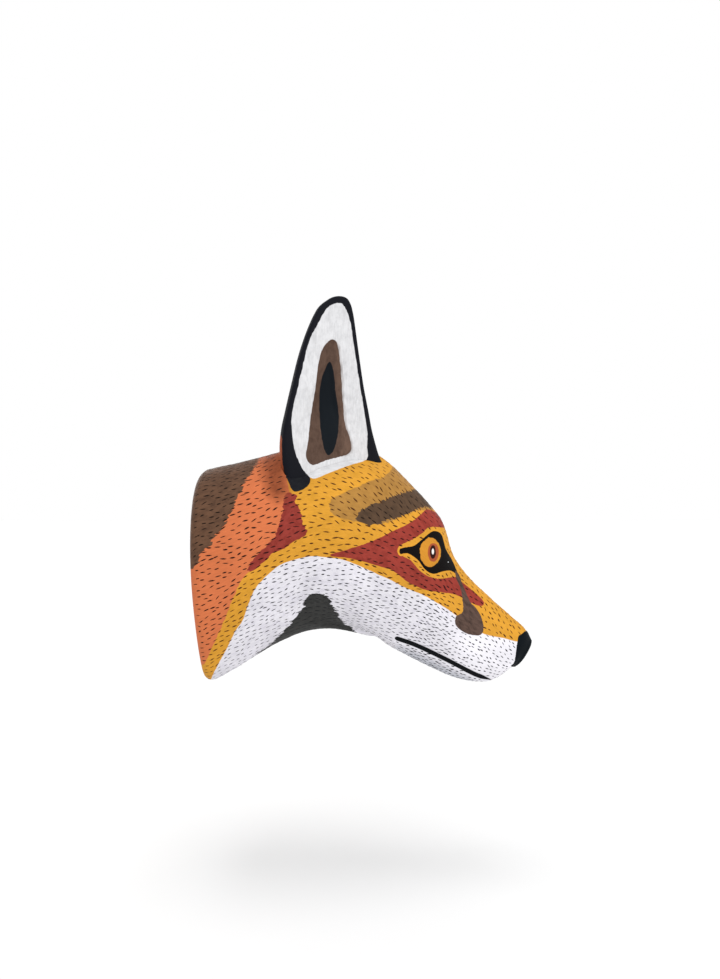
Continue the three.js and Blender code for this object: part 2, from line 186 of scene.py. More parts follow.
# painted shade: a darker orange laid in the hollow behind the ear, where the ear shades the neck
HOLLOW_PAINTED_SHADE = [
    (35, 84), (48, 84), (50, 66), (52, 54), (47, 47), (40, 50), (36, 64),
]
EAR_FACE = [
    (76, 166), (70, 156), (64.5, 145), (61, 131.5), (57.5, 116), (54, 101), (54, 89.5),
    (56, 76.5), (60, 67), (64.5, 61.5), (68, 60), (75.5, 63), (88.5, 68), (100, 72), (100.5, 79.5),
    (100.5, 89.5), (98.5, 103.5), (96, 118.5), (94, 131.5), (92, 144.5), (90, 157.5), (87, 166),
    (83, 169),
]
EAR_BROWN = [
    (78.5, 146.5), (74.5, 143), (71.5, 137), (70, 129), (68, 114), (65.5, 98.5), (64, 83.5), (62.5, 75),
    (64, 70.5), (67.5, 68.5), (75.5, 71.5), (87, 74.5), (90.5, 77.5), (90, 84.5), (87, 93), (85.5, 107),
    (84.5, 123), (83, 138.5), (81.5, 144.5),
]
# painted light: a paler band along the brown field's front edge, where the wall of the hollow catches the
# light
EAR_BROWN_LIT_EDGE = [
    (81, 143), (83.5, 138), (84.5, 122), (86, 107), (87.5, 93), (91, 84), (91, 77), (84.5, 75.5),
    (86, 88), (84, 105), (82.5, 125),
]
EAR_SLIT = [
    (77, 132.5), (73, 124), (71, 113), (71, 100), (72.5, 84.5), (75.5, 75), (79.5, 77), (82, 85.5),
    (83, 98.5), (81, 114), (79.5, 127.5),
]
EAR_FOOT_BLACK = [
    (46, 88), (47, 75), (48.5, 65), (51.5, 58.5), (54, 53), (57, 52), (62, 54), (65, 57.5), (65, 61),
    (60, 66.5), (56, 76), (53.5, 90),
]
# the neck's orange carried up the rear of the ear's foot, laid darker as painted shade from the hollow
# behind the ear
EAR_ORANGE_SHADED = [
    (39, 87), (47, 87), (47.5, 80), (48, 70.5), (49.5, 61), (52, 53.5), (40.5, 44),
]

# What the knife adds to the plain form: the middle of each rise on the side drawing, its reach along and
# up, its slant, and how far it stands out. The eyeball is a dome on top of its socket.
EYE_CENTRE = (139.7, 14.3)
EYE_BALL = (8, 10, 1.5)
CARVED_FORMS = {
    "eye_socket": ((138.7, 14.3), (15, 11), (0, 0), -1.1),
    "brow_ridge": ((134, 31), (16, 5), (0.5, 0.35), 1.1),
    "cheek": ((104, -6), (20, 13), (0, 0), 1.6),
    "muzzle_hollow": ((152, -7), (13, 8), (0, 0), -0.9),
}
NOSE_LEATHER = 0.5
MOUTH_WIDTH = 0.95
MOUTH_DEEP = 1.2
JAW_SET_BACK = 0.5
KNIFE_STROKE = 13
KNIFE_HIGH = 0.35
# Half the painted line of the mouth, the painted highlight along the lower lip under it, and the paint
# carried over onto the back.
MOUTH_LINE = 1.27
LIP_HIGHLIGHT_BELOW = 2
LIP_HIGHLIGHT_HALF = 0.75
PAINTED_RIM = 2.5

# The hanger. The strap's leaf and its fold: the gap between its ends, the neck bend that leads into
# the eye. The D-ring: its pivot, its wire, half its bar and width, and its lean at rest. The screws: the
# face under the head, their heights, thread and cross recess.
STRAP_BACK = 9.7
STRAP_LEAF = 0.9
STRAP_WIDTH = 13
STRAP_LOW = 8.5
STRAP_LAP = 1.6
STRAP_AIR = 0.04
STRAP_NECK = 0.8
STRAP_HOLE = 2.2
SHEET_EDGE = 0.18
RING_PIVOT = (7.2, 0, 30)
EYE_MEAN_RADIUS = 2
RING_WIRE = 1.2
RING_HALF_BAR = 7.6
RING_HALF_WIDTH = 11
RING_HEIGHT = 18
RING_CORNER = 3.4
RING_SHOULDER = 6.5
RING_LEAN = 3.5
RING_SPLIT = 0.25
SCREW_FACE = 7.75
SCREW_HEIGHTS = {"lower": 13, "upper": 21.5}
PILOT_END = 25
PILOT_RADIUS = 2
# the pan head and the neck under it: (out from the face under the head, radius)
SCREW_HEAD = [(-2.2, 0.6), (-2.18, 1.6), (-2.05, 2.5), (-1.7, 3.15), (-1.2, 3.48), (-0.6, 3.6),
              (-0.15, 3.58), (0, 3.45), (0.02, 1.6)]
SCREW_HEAD_HIGH = 2.2
CROSS_LONG = 4.6
CROSS_WIDE = 0.8
CROSS_DEEP = 1.2
CROSS_NARROWS = 0.42
SCREW_SHANK = 1.2
SCREW_THREAD = 1.7
SCREW_LENGTH = 15
SCREW_PLAIN = 2
SCREW_PITCH = 1.8
SCREW_POINT = 2.5

# The paint, coat by coat: the outline it fills, its colour, how ragged the brush leaves the edge and
# how soft the edge is, both in millimetres. The ground coat lies under all of them.
HEAD_GROUND = "#c46c43"
HEAD_PAINT = [
    ("neck_brown", NECK_BROWN, "#614635", 3.4, 0.12),
    ("face_yellow", FACE_YELLOW, "#cc9131", 0.7, 0.12),
    ("white", WHITE, "#d6d4da", 0.35, 0.12),
    # painted light on the muzzle's front
    ("muzzle_painted_light", MUZZLE_PAINTED_LIGHT, "#e0dee4", 1.0, 9.0),
    ("throat", THROAT, "#353534", 2.4, 0.12),
    ("cheek_red", CHEEK_RED, "#8b372f", 1.5, 0.12),
    # painted shade in the hollow behind the ear
    ("hollow_painted_shade", HOLLOW_PAINTED_SHADE, "#8c4a2d", 0.8, 4.2),
    ("ear_foot", EAR_FOOT_BLACK, "#13141a", 0.3, 0.12),
    ("ear_white", EAR_FACE, "#cfcfd1", 0.3, 0.12),
    ("brow_tan", BROW_TAN, "#a3773a", 1.6, 0.3),
    ("brow_bar", BROW_BAR, "#544030", 2.2, 0.12),
    ("mask_red", MASK_RED, "#90382f", 0.5, 0.12),
    ("eye_rim", EYE_ALMOND, "#cd9130", 0.3, 0.12),
    ("eye", EYE_ALMOND, "#0b0707", 0.25, 0.1),
    ("tear", TEAR, "#58453d", 0.35, 0.12),
    ("nose", NOSE, "#070e13", 0.3, 0.12),
    ("jaw_shade", JAW_SHADE, "#b4b6be", 0.6, 2.2),
    # painted highlight: a paler band along the lower lip, where its edge catches the light
    ("lip_highlight", None, "#dcdbe1", 0.2, 0.3),
    ("mouth", None, "#0c0e11", 0.12, 0.1),
]
EYE_RIM = 1.15
# the eye from the iris to the pupil, then a painted highlight on the pupil and a painted glint in the black
# of the eye: middle, half width and half height on the side drawing, colour
EYE_PAINT_AND_HIGHLIGHTS = [
    ((139.7, 14.3), (6.5, 9.0), "#c0822a"),
    ((141.5, 14.3), (3.4, 5.8), "#9c4d2f"),
    ((141.3, 14.6), (1.85, 4.2), "#2c0f0e"),
    # painted highlight on the pupil
    ((141.3, 14.9), (0.72, 1.8), "#e6e2de"),
    # painted glint in the black of the eye
    ((150.8, 8.3), (0.3, 0.25), "#dfe3e6"),
]
EAR_COAT = "#13141a"
EAR_PAINT = [
    # orange paint, darkened as painted shade
    ("ear_orange_shaded", EAR_ORANGE_SHADED, "#94492a", 0.6, 0.15),
    ("ear_white", EAR_FACE, "#cfcfd1", 0.5, 0.12),
    ("ear_brown", EAR_BROWN, "#564339", 0.4, 0.12),
    # painted light on the lit wall of the ear's hollow
    ("ear_brown_lit_edge", EAR_BROWN_LIT_EDGE, "#665044", 1.2, 1.6),
    ("ear_slit", EAR_SLIT, "#10151a", 0.4, 0.12),
]
# the second tone that drifts through each coat
MOTTLES = {
    "neck_brown": "#3f2d23", "face_yellow": "#bd8628", "white": "#c6c3cd", "throat": "#272827",
    "cheek_red": "#6f251d", "ear_white": "#bbbbbd", "brow_tan": "#936a33", "brow_bar": "#413226",
    "mask_red": "#742820", "tear": "#2e2420", "ear_brown": "#44332b", "ear_brown_lit_edge": "#54433a",
    "ear_foot": "#1e2023", "hollow_painted_shade": "#6d3620",
}
# the fur marks' ink on the ground coat, and on each of the coats that take marks
MARKED_COATS = ["neck_brown", "face_yellow", "white", "throat", "cheek_red", "brow_tan", "brow_bar",
                "mask_red"]
MARK_COLOURS = ["#2a1410", "#21160f", "#4a2712", "#28282d", "#1c1c1e", "#300e10", "#4a2a13", "#21160f",
                "#300e10"]
# white is the third of them
WHITE_COAT = 3
# the marks' lengths and widths, how high the paint stands, the gap between them, and where the
# muzzle starts along the head
MARK_LENGTH = (2.4, 4.1)
MARK_WIDTH = (0.52, 0.98)
MARK_HIGH = 0.09
MARK_GAP = 4.1
MUZZLE_FROM = 150
WHITE_MARK_SIZE = 0.82
JAW_MARK_SIZE = 1.15
WHITE_MARK_STRENGTHS = (0.5, 0.7, 1.0, 1.6, 2.8)
JAW_MARK_STRENGTHS = (0.4, 0.5, 0.8)
MARKS_CLEAR = 2.2

# bare copal: its pale and dark tone, how its grain is drawn out along the block, and its pith
COPAL = ("#dcc092", "#c4a372", (60, 900, 900))
PITH = (0, 0.03, 0.09)
PEG_SIDES = 60
PEG_GROOVES = 10
PEG_GROOVE_DEEP = 0.22
# the dowel from end to end: height, radius, and how much of the groove is cut there
PEG_TURNING = [(0, 2.1, 0), (0.25, 2.35, 0.3), (0.9, 2.95, 1), (1.3, 3, 1), (8, 3, 1), (18, 3, 1),
               (24.7, 3, 1), (25.1, 2.95, 1), (25.75, 2.35, 0.3), (26, 2.1, 0)]
SCREW_SIDES = 32
WIRE_SIDES = 20
# the floor's height in metres, the room's light, and the lens on 36 mm film
FLOOR = -0.185
WHITE_ROOM = 1.0
SIDE_LENS = 32.62
# dead matt paint: it takes almost no shine from the lights
PAINT_SHINE = 0.06
# each wide soft light: the way to it, its spread in degrees and its strength
SOFT_LIGHTS = {
    "front_softbox": ((0.5, -0.85, 0.16), 40, 1.25),
    "overhead_softbox": ((0, -0.11, 1), 28, 0.75),
    "back_softbox": ((-0.5, 0.8, 0.2), 40, 0.75),
}


# ------------------------------------------------------------------ working by hand

def curve_between(a, b, c, d, share):
    """A smooth line's way from b to c, with a before it and d after it."""
    return b + 0.5 * ((c - a) * share + (2 * a - 5 * b + 4 * c - d) * share ** 2
                      + (3 * b - a - 3 * c + d) * share ** 3)


def smooth_run(knots, place):
    """A smooth line through evenly spaced knots, read at place from 0 to 1."""
    knots = np.asarray(knots, float).reshape(len(knots), -1)
    ends = np.vstack([2 * knots[0] - knots[1], knots, 2 * knots[-1] - knots[-2]])
    run = np.clip(np.asarray(place, float), 0, 1) * (len(knots) - 1)
    step = np.minimum(run.astype(int), len(knots) - 2)
    return curve_between(*(ends[step + k] for k in range(4)), (run - step)[..., None])


def smooth_value(knots, place):
    """The same for knots that are single numbers."""
    return smooth_run(knots, place)[..., 0]


def smooth_step(start, end, value):
    """Rises smoothly from nought at the start to one at the end."""
    share = np.clip((value - start) / (end - start), 0, 1)
    return share * share * (3 - 2 * share)


def hump(along, up, length, height):
    """A soft rise, one in its middle and nought all round."""
    return np.exp(-(along / length) ** 2 - (up / height) ** 2)


def only(piece):
    """Picks this piece alone, as the next tool works on all that is picked."""
    if bpy.context.object and bpy.context.object.mode != "OBJECT":
        bpy.ops.object.mode_set(mode="OBJECT")
    bpy.ops.object.select_all(action="DESELECT")
    if piece:
        piece.select_set(True)
        bpy.context.view_layer.objects.active = piece
    return piece


def placed(piece):
    """Leaves the object at the origin and its place in its mesh."""
    only(piece)
    bpy.ops.object.transform_apply(location=True, rotation=True, scale=True)
    return piece


def pick(piece, kind, wanted):
    """Picks the edges or faces of a piece that are wanted, for the next tool to work on."""
    bpy.ops.object.mode_set(mode="EDIT")
    bpy.ops.mesh.select_mode(type=kind)
    bpy.ops.mesh.select_all(action="DESELECT")
    bpy.ops.object.mode_set(mode="OBJECT")
    for part in piece.data.edges if kind == "EDGE" else piece.data.polygons:
        part.select = wanted(part)
    bpy.ops.object.mode_set(mode="EDIT")


def drawn_out(name, rings, paint=None):
    """A hoop pulled out ring by ring through the given places, then both ends closed."""
    rings = np.asarray(rings, float)
    only(None)
    bpy.ops.mesh.primitive_circle_add(vertices=rings.shape[1], radius=MM)
    piece = bpy.context.object
    piece.name = piece.data.name = name
    bpy.ops.object.mode_set(mode="EDIT")
    bpy.ops.mesh.select_mode(type="VERT")
    bpy.ops.mesh.select_all(action="SELECT")
    for _ in rings[1:]:
        bpy.ops.mesh.extrude_region_move(TRANSFORM_OT_translate={"value": (0, 0, MM)})
    bpy.ops.object.mode_set(mode="OBJECT")
    piece.data.vertices.foreach_set("co", (rings * MM).astype(np.float32).ravel())
    bpy.ops.object.mode_set(mode="EDIT")
    bpy.ops.mesh.select_all(action="SELECT")
    bpy.ops.mesh.fill_holes(sides=0)
    pick(piece, "FACE", lambda face: len(face.vertices) > 4)
    bpy.ops.mesh.poke()
    bpy.ops.mesh.select_all(action="SELECT")
    bpy.ops.mesh.normals_make_consistent(inside=False)
    bpy.ops.mesh.select_mode(type="VERT")
    bpy.ops.object.mode_set(mode="OBJECT")
    if paint:
        piece.data.materials.append(paint)
    return piece


def cut(piece, cutter, bare=None):
    """Cuts one piece with another, leaves the cut bare, and throws the cutter away."""
    if bare:
        cutter.data.materials.clear()
        cutter.data.materials.append(bare)
    only(piece)
    saw = piece.modifiers.new("saw", "BOOLEAN")
    saw.operation = "DIFFERENCE"
    saw.solver = "EXACT"
    saw.material_mode = "TRANSFER"
    saw.object = cutter
    bpy.ops.object.modifier_apply(modifier=saw.name)
    bpy.data.objects.remove(cutter)
    return piece


def drill(start, end, radius, sides=48):
    """A drill's way from one point to another."""
    start, end = Vector(start) * MM, Vector(end) * MM
    only(None)
    bpy.ops.mesh.primitive_cylinder_add(
        vertices=sides, radius=radius * MM, depth=(end - start).length, location=(start + end) / 2,
        rotation=(end - start).to_track_quat("Z", "Y").to_euler())
    return placed(bpy.context.object)


def block(low, high):
    """A square block between two corners, for a cutter to be shaped from."""
    low, high = Vector(low) * MM, Vector(high) * MM
    only(None)
    bpy.ops.mesh.primitive_cube_add(size=1, location=(low + high) / 2)
    bpy.context.object.scale = high - low
    return placed(bpy.context.object)


def softened(piece, width, segments, angle):
    """Breaks the edges sharper than the angle."""
    only(piece)
    edge = piece.modifiers.new("edge", "BEVEL")
    edge.width = width * MM
    edge.segments = segments
    edge.limit_method = "ANGLE"
    edge.angle_limit = math.radians(angle)
    bpy.ops.object.modifier_apply(modifier=edge.name)
    return piece


def smooth(piece, angle):
    """Shades a piece smoothly but for the edges sharper than the angle."""
    only(piece)
    bpy.ops.object.shade_smooth_by_angle(angle=math.radians(angle))
    return piece


def turned_over(piece):
    """Turns a piece over to the other side of the head."""
    only(piece)
    piece.scale = (1, -1, 1)
    placed(piece)
    bpy.ops.object.mode_set(mode="EDIT")
    bpy.ops.mesh.select_all(action="SELECT")
    bpy.ops.mesh.normals_make_consistent(inside=False)
    bpy.ops.object.mode_set(mode="OBJECT")
    return piece


def mirrored(piece, name):
    """The same piece for the other side of the head."""
    twin = piece.copy()
    twin.data = piece.data.copy()
    twin.name = twin.data.name = name
    bpy.context.scene.collection.objects.link(twin)
    return turned_over(twin)


def nearest(places, points):
    """For each point, which of the places lies nearest."""
    tree = KDTree(len(places))
    for k, place in enumerate(places):
        tree.insert(place, k)
    tree.balance()
    return np.array([tree.find(point)[1] for point in points])


def points_of(piece):
    """The points of a piece's mesh, in millimetres."""
    places = np.empty(len(piece.data.vertices) * 3, np.float32)
    piece.data.vertices.foreach_get("co", places)
    return places.reshape(-1, 3).astype(float) / MM


def note(piece, name, values):
    """Writes a value on each point of a piece, for its paint to read."""
    values = np.asarray(values, np.float32)
    kind, key = ("FLOAT_VECTOR", "vector") if values.ndim == 2 else ("FLOAT", "value")
    layer = piece.data.attributes.new(name, kind, "POINT")
    layer.data.foreach_set(key, values.ravel())


# ------------------------------------------------------------------ the painter's drawing

def side_drawing(points):
    """Where a point falls on the side drawing: both sides of the head carry the same one."""
    reach = SIDE_DISTANCE / (SIDE_DISTANCE - np.abs(points[..., 1]))
    return np.stack([SIDE_EYE[0] + (points[..., 0] - SIDE_EYE[0]) * reach,
                     SIDE_EYE[1] + (points[..., 2] - SIDE_EYE[1]) * reach], -1)


def brushed(outline, steps=4):
    """A closed outline drawn smoothly through its points."""
    points = np.asarray(outline, float)
    a, b, c, d = (np.roll(points, shift, 0)[:, None] for shift in (1, 0, -1, -2))
    share = (np.arange(steps) / steps)[None, :, None]
    return curve_between(a, b, c, d, share).reshape(-1, 2)


def distance_to(line, spots):
    """From each spot to a line: how far, on which side of it, and how far along it."""
    best = np.full(len(spots), 1e9)
    side, along = np.zeros(len(spots)), np.zeros(len(spots))
    run = 0.0
    for a, b in zip(line[:-1], line[1:]):
        edge = b - a
        length = np.linalg.norm(edge)
        share = np.clip(((spots - a) @ edge) / length ** 2, 0, 1)
        gap = spots - a - share[:, None] * edge
        away = np.linalg.norm(gap, axis=1)
        nearer = away < best
        best = np.where(nearer, away, best)
        side = np.where(nearer, np.sign(edge[0] * gap[:, 1] - edge[1] * gap[:, 0]), side)
        along = np.where(nearer, run + share * length, along)
        run += length
    return best, side, along, run


def outside_of(outline, spots):
    """How far each spot lies outside an outline; inside it is below zero."""
    spots = np.asarray(spots, float)
    flat = spots.reshape(-1, 2)
    line = brushed(outline)
    closed = np.vstack([line, line[:1]])
    away = distance_to(closed, flat)[0]
    inside = np.zeros(len(flat), bool)
    for (ax, ay), (bx, by) in zip(closed[:-1], closed[1:]):
        if ay != by:
            crosses = (ay > flat[:, 1]) != (by > flat[:, 1])
            inside ^= crosses & (flat[:, 0] < (bx - ax) * (flat[:, 1] - ay) / (by - ay) + ax)
    return np.where(inside, -away, away).reshape(spots.shape[:-1])


def mouth_at(spots):
    """How far along the mouth and how far above it each spot lies, whether it is past the mouth's ends,
    and the mouth's length."""
    flat = spots.reshape(-1, 2)
    away, side, along, length = distance_to(smooth_run(MOUTH, np.linspace(0, 1, 40)), flat)
    beyond = ((along <= 0) | (along >= length)) & (away > 0.05)
    above = np.where(beyond, away, side * away)
    return (*(value.reshape(spots.shape[:-1]) for value in (along, above, beyond)), length)


# ------------------------------------------------------------------ the shape of the head

EAR_MIDDLE = (EAR_REAR[0] + EAR_FRONT[0]) / 2
EAR_STANDS = (Matrix.Translation(EAR_FOOT) @ Matrix.Rotation(math.radians(EAR_LEAN_OUT), 4, "X")
              @ Matrix.Rotation(math.radians(EAR_LEAN_FORWARD), 4, "Y")
              @ Matrix.Rotation(math.radians(EAR_TURN), 4, "Z"))


def in_ear_measures(points):
    """Points on either side of the head in the ear's own measures: along, out and up."""
    stands = np.array(EAR_STANDS)
    near_side = np.stack([points[..., 0], -np.abs(points[..., 1]), points[..., 2]], -1)
    return (near_side - stands[:3, 3]) @ stands[:3, :3]


def rim_at(turn):
    """How wide the edge of the flat back is rounded, at a turn from the top."""
    return RIM_TOP + (RIM_BOTTOM - RIM_TOP) * (1 - np.cos(turn)) / 2


def head_point(place, turn, inset=0.0):
    """A point on the head: place runs from the wall (0) to the nose (1), turn goes round from the top."""
    place, turn = np.broadcast_arrays(np.asarray(place, float), np.asarray(turn, float))
    top, bottom = smooth_run(HEAD_TOP, place), smooth_run(HEAD_BOTTOM, place)
    half, skew = smooth_value(HEAD_HALF, place), smooth_value(HEAD_SKEW, place)
    middle, rise = (top + bottom) / 2, (top - bottom) / 2
    tall = np.linalg.norm(rise, axis=-1)
    up = rise / tall[..., None] * (np.cos(turn) * (tall - inset))[..., None]
    upper = np.maximum(0, np.cos(turn))
    bulge = np.sign(np.sin(turn)) * np.abs(np.sin(turn)) ** (1 - CROWN_FLAT * upper * upper)
    y = -bulge * (1 + skew * np.cos(turn)) * (half - inset)
    x, z = middle[..., 0] + up[..., 0], middle[..., 1] + up[..., 1]
    swell = hump(x - SHOULDER["x"], np.abs(y) - SHOULDER["y"], SHOULDER["length"], SHOULDER["width"])
    return np.stack([x, y, z + SHOULDER["height"] * swell * smooth_step(0, 16, z)], -1)


def head_facing(place, turn):
    """Which way the head's surface faces there."""
    along = head_point(np.minimum(place + NUDGE, 1), turn) - head_point(np.maximum(place - NUDGE, 0), turn)
    around = head_point(place, turn + NUDGE) - head_point(place, turn - NUDGE)
    out = np.cross(around, along)
    return out / np.maximum(np.linalg.norm(out, axis=-1, keepdims=True), 1e-9)


def carving(points):
    """How far the knife leaves the surface above (or below) the plain form."""
    spots = side_drawing(points)
    high = NOSE_LEATHER * smooth_step(0.4, -1.2, outside_of(NOSE, spots))
    for (u, w), (length, height), slant, stands_out in CARVED_FORMS.values():
        along, up = spots[..., 0] - u, spots[..., 1] - w
        high = high + stands_out * hump(along + up * slant[0], up - along * slant[1], length, height)
    ball_u, ball_w = (spots[..., k] - EYE_CENTRE[k] for k in (0, 1))
    ball = np.maximum(0, 1 - (ball_u / EYE_BALL[0]) ** 2 - (ball_w / EYE_BALL[1]) ** 2)
    high = high + EYE_BALL[2] * ball
    along, above, beyond, length = mouth_at(spots)
    runs_out = smooth_step(length, length - 8, along)
    groove = np.where(beyond, 0, np.exp(-(above / MOUTH_WIDTH) ** 2) * smooth_step(-1, 4, along))
    lower_jaw = smooth_step(0.2, -2.2, above) * smooth_step(-9, -4, above) * smooth_step(0, 12, along)
    high = high - (MOUTH_DEEP * groove + JAW_SET_BACK * lower_jaw) * runs_out
    # the head is cut down a little where the ear settles on it
    own = in_ear_measures(points)
    past_ear = np.abs(own[..., 0] - EAR_MIDDLE) - SETTLE_HALF
    settled = smooth_step(SETTLE_WIDTH, 7, -own[..., 1]) * smooth_step(14, 0, past_ear)
    high = high - EAR_SETTLES * settled * smooth_step(1, -3, own[..., 1])
    knife = np.array([noise.noise(Vector(p) / KNIFE_STROKE) for p in points.reshape(-1, 3)])
    high = high + KNIFE_HIGH * knife.reshape(high.shape)
    return high * smooth_step(9, 20, points[..., 0])


def carved(place, turn):
    """A point of the finished head, and which way it faces."""
    rim = rim_at(turn)
    short = np.clip(rim - head_point(place, turn)[..., 0], 0, rim)
    points, facing = head_point(place, turn, rim - np.sqrt(rim ** 2 - short ** 2)), head_facing(place, turn)
    facing = facing - np.array([1.0, 0, 0]) * (short / rim)[..., None]
    facing /= np.linalg.norm(facing, axis=-1, keepdims=True)
    return points + facing * carving(points)[..., None], facing


def even_places(count, start=RIM_END):
    """Places along the head that lie evenly apart on its side."""
    fine = np.linspace(start, 1, 2000)
    run = np.linalg.norm(np.diff(head_point(fine, np.pi / 2), axis=0), axis=1)
    length = np.concatenate([[0], np.cumsum(run)])
    return np.interp(np.linspace(0, length[-1], count), length, fine), length[-1]


def head_rings():
    """The rings of the head from the middle of its back to the nose, and the brush's way over them."""
    turn = np.arange(HEAD_SIDES) / HEAD_SIDES * 2 * np.pi
    around = np.minimum(turn, 2 * np.pi - turn) * HEAD_GIRTH
    rim = rim_at(turn)
    wall_edge = head_point(0.0, turn, rim)
    wall_edge[:, 0] = 0
    rings = [wall_edge * share for share in (0.02, 0.2, 0.4, 0.6, 0.78, 0.92)]
    run = [-12] * len(rings)
    out_per_place = head_point(RIM_END, turn)[:, 0] / RIM_END
    full_bend = np.arccos(np.clip(1 - 0.9 * RIM_END * out_per_place / rim, 0.19, 1))
    for step in np.linspace(0, 1, 10):
        out = rim * (1 - np.cos(step * full_bend))
        ring = head_point(out / out_per_place, turn, rim * (1 - np.sin(step * full_bend)))
        ring[:, 0] = out
        rings.append(ring)
        run.append(-10 + 8 * step)
    places, length = even_places(HEAD_RINGS)
    for k, place in enumerate(places):
        rings.append(carved(place, turn)[0])
        run.append(k / (HEAD_RINGS - 1) * length)
    last, middle = rings[-1], rings[-1].mean(0)
    for bend in np.radians([20, 38, 54, 67, 78]):
        rings.append(middle + (last - middle) * math.cos(bend) + NOSE_FRONT * math.sin(bend))
        run.append(length + 3)
    flow = np.stack([np.repeat(run, HEAD_SIDES), np.tile(around, len(rings)),
                     0.3 * np.array(rings).reshape(-1, 3)[:, 1]], -1)
    return np.array(rings), flow


def pocket_cutter():
    """The hollow for the hanger: a block that reaches out past the wall, its corners rounded."""
    cutter = block((-2, -POCKET_HALF, POCKET_LOW), (POCKET_DEEP, POCKET_HALF, POCKET_HIGH))
    x_at = [corner.co.x for corner in cutter.data.vertices]
    pick(cutter, "EDGE", lambda edge: abs(x_at[edge.vertices[0]] - x_at[edge.vertices[1]]) > MM)
    bpy.ops.mesh.bevel(offset=POCKET_CORNER * MM, segments=10)
    bpy.ops.object.mode_set(mode="OBJECT")
    return cutter


def wall_edge_reach(angle):
    """How far the flat back reaches from its middle, at an angle from straight up."""
    turn = np.linspace(0, np.pi, 181)
    edge = head_point(0.0, turn, rim_at(turn))
    at = np.arctan2(np.abs(edge[:, 1]), edge[:, 2])
    return np.interp(angle, at, np.hypot(edge[:, 1], edge[:, 2]))


def make_head(paint, bare):
    """The head block with its pocket, screw holes and ear saddles, and all that its paint reads."""
    rings, flow = head_rings()
    head = drawn_out("carved_head", rings, paint)
    cut(head, pocket_cutter(), bare)
    for height in SCREW_HEIGHTS.values():
        cut(head, drill((POCKET_DEEP - 1, 0, height), (PILOT_END, 0, height), PILOT_RADIUS, 24), bare)
    for sign in (1, -1):
        saddle = ear_shape("saddle", FIT, SADDLE_RINGS, SADDLE_HEIGHT)
        if sign < 0:
            saddle = turned_over(saddle)
        cut(head, saddle, bare)
        for along in PEG_PLACES.values():
            low, high = (ear_place(along + EAR_MIDDLE, PEG_BACK, h) * (1, sign, 1)
                         for h in (PEG_LOW - FIT, PEG_LOW + PEG_LENGTH))
            cut(head, drill(low, high, PEG_RADIUS + FIT), bare)

    points = points_of(head)
    spots = side_drawing(points)
    note(head, "side", np.column_stack([spots, np.zeros(len(spots))]))
    note(head, "flow", flow[nearest(rings.reshape(-1, 3), points)])
    behind_ear = in_ear_measures(points)[:, 1] + 3
    for zone, outline, *_ in HEAD_PAINT:
        if outline:
            away = outside_of(outline, spots) - (EYE_RIM if zone == "eye_rim" else 0)
            if zone.startswith("ear_"):
                away = np.maximum(away, behind_ear)
            # the painted light on the muzzle stays inside the white
            if zone == "muzzle_painted_light":
                away = np.maximum(away, 30 * outside_of(WHITE, spots))
            note(head, zone, away)
    along, above, beyond, length = mouth_at(spots)
    drawn = MOUTH_LINE * smooth_step(-1, 2, along) * smooth_step(length + 1, length - 9, along) + 0.1
    note(head, "mouth", np.where(beyond, np.abs(above), np.abs(above) - drawn))
    # the lip's painted highlight: a band just under the mouth
    note(head, "lip_highlight", np.where(beyond | (above > 0), 3, np.abs(above + LIP_HIGHLIGHT_BELOW) - LIP_HIGHLIGHT_HALF))
    # the wall face is bare wood, with a rim of paint that the brush carried over the edge
    angle = np.arctan2(np.abs(points[:, 1]), points[:, 2])
    inwards = np.hypot(points[:, 1], points[:, 2]) - wall_edge_reach(angle)
    note(head, "bare", np.where(points[:, 0] < 0.05, inwards + PAINTED_RIM, 6))
    return smooth(head, 40)


# ------------------------------------------------------------------ the ears

def ear_place(along, out, high):
    """From the ear's own measures to a place beside the head."""
    spots = np.stack(np.broadcast_arrays(*(np.asarray(v, float) for v in (along, out, high))), -1)
    stands = np.array(EAR_STANDS)
    return spots @ stands[:3, :3].T + stands[:3, 3]


def sunk_head(inset, sides=96, steps=90):
    """The head's surface, sunk by an inset, for an ear's foot to stand on."""
    turn = np.arange(sides) / sides * 2 * np.pi
    rings = [head_point(place, turn, inset) for place in np.linspace(RIM_END, 0.75, steps)]
    faces = [(r * sides + a, r * sides + b, (r + 1) * sides + b, (r + 1) * sides + a)
             for r in range(steps - 1) for a, b in zip(range(sides), np.roll(range(sides), -1).tolist())]
    return BVHTree.FromPolygons(np.reshape(rings, (-1, 3)).tolist(), faces)


EAR_RISE = smooth_value(EAR_HEIGHT, np.linspace(0, 1, 400))


def ear_girth(high):
    """The ear's middle, half width, thickness and dish at a height over its foot point."""
    place = np.interp(high, EAR_RISE, np.linspace(0, 1, len(EAR_RISE)))
    rear, front, thick, dish = (smooth_value(v, place) for v in (EAR_REAR, EAR_FRONT, EAR_THICK, EAR_DISH))
    return (rear + front) / 2, (front - rear) / 2, thick, dish


def ear_section(high, turn, grow=0.0):
    """Along, out and up of the ear's outline at a height over its foot point."""
    middle, half, thick, dish = ear_girth(high)
    along, side = np.cos(turn), np.sin(turn)
    out = np.sign(side) * np.sqrt(np.abs(side)) * (thick / 2 + grow)
    out = out + np.where(side < 0, dish * (1 - along * along) ** 1.5, 0)
    return np.stack([middle + along * (half + grow), out, np.broadcast_to(high, np.shape(out))], -1)


def foot_height(along, out, ground, above=60.0):
    """Where an ear's foot meets the sunk head, straight down from above."""
    start, end = ear_place(along, out, above), ear_place(along, out, 0.0)
    hit = ground.ray_cast(Vector(start), Vector(end - start).normalized())
    return above - hit[3] if hit[0] else 0.0


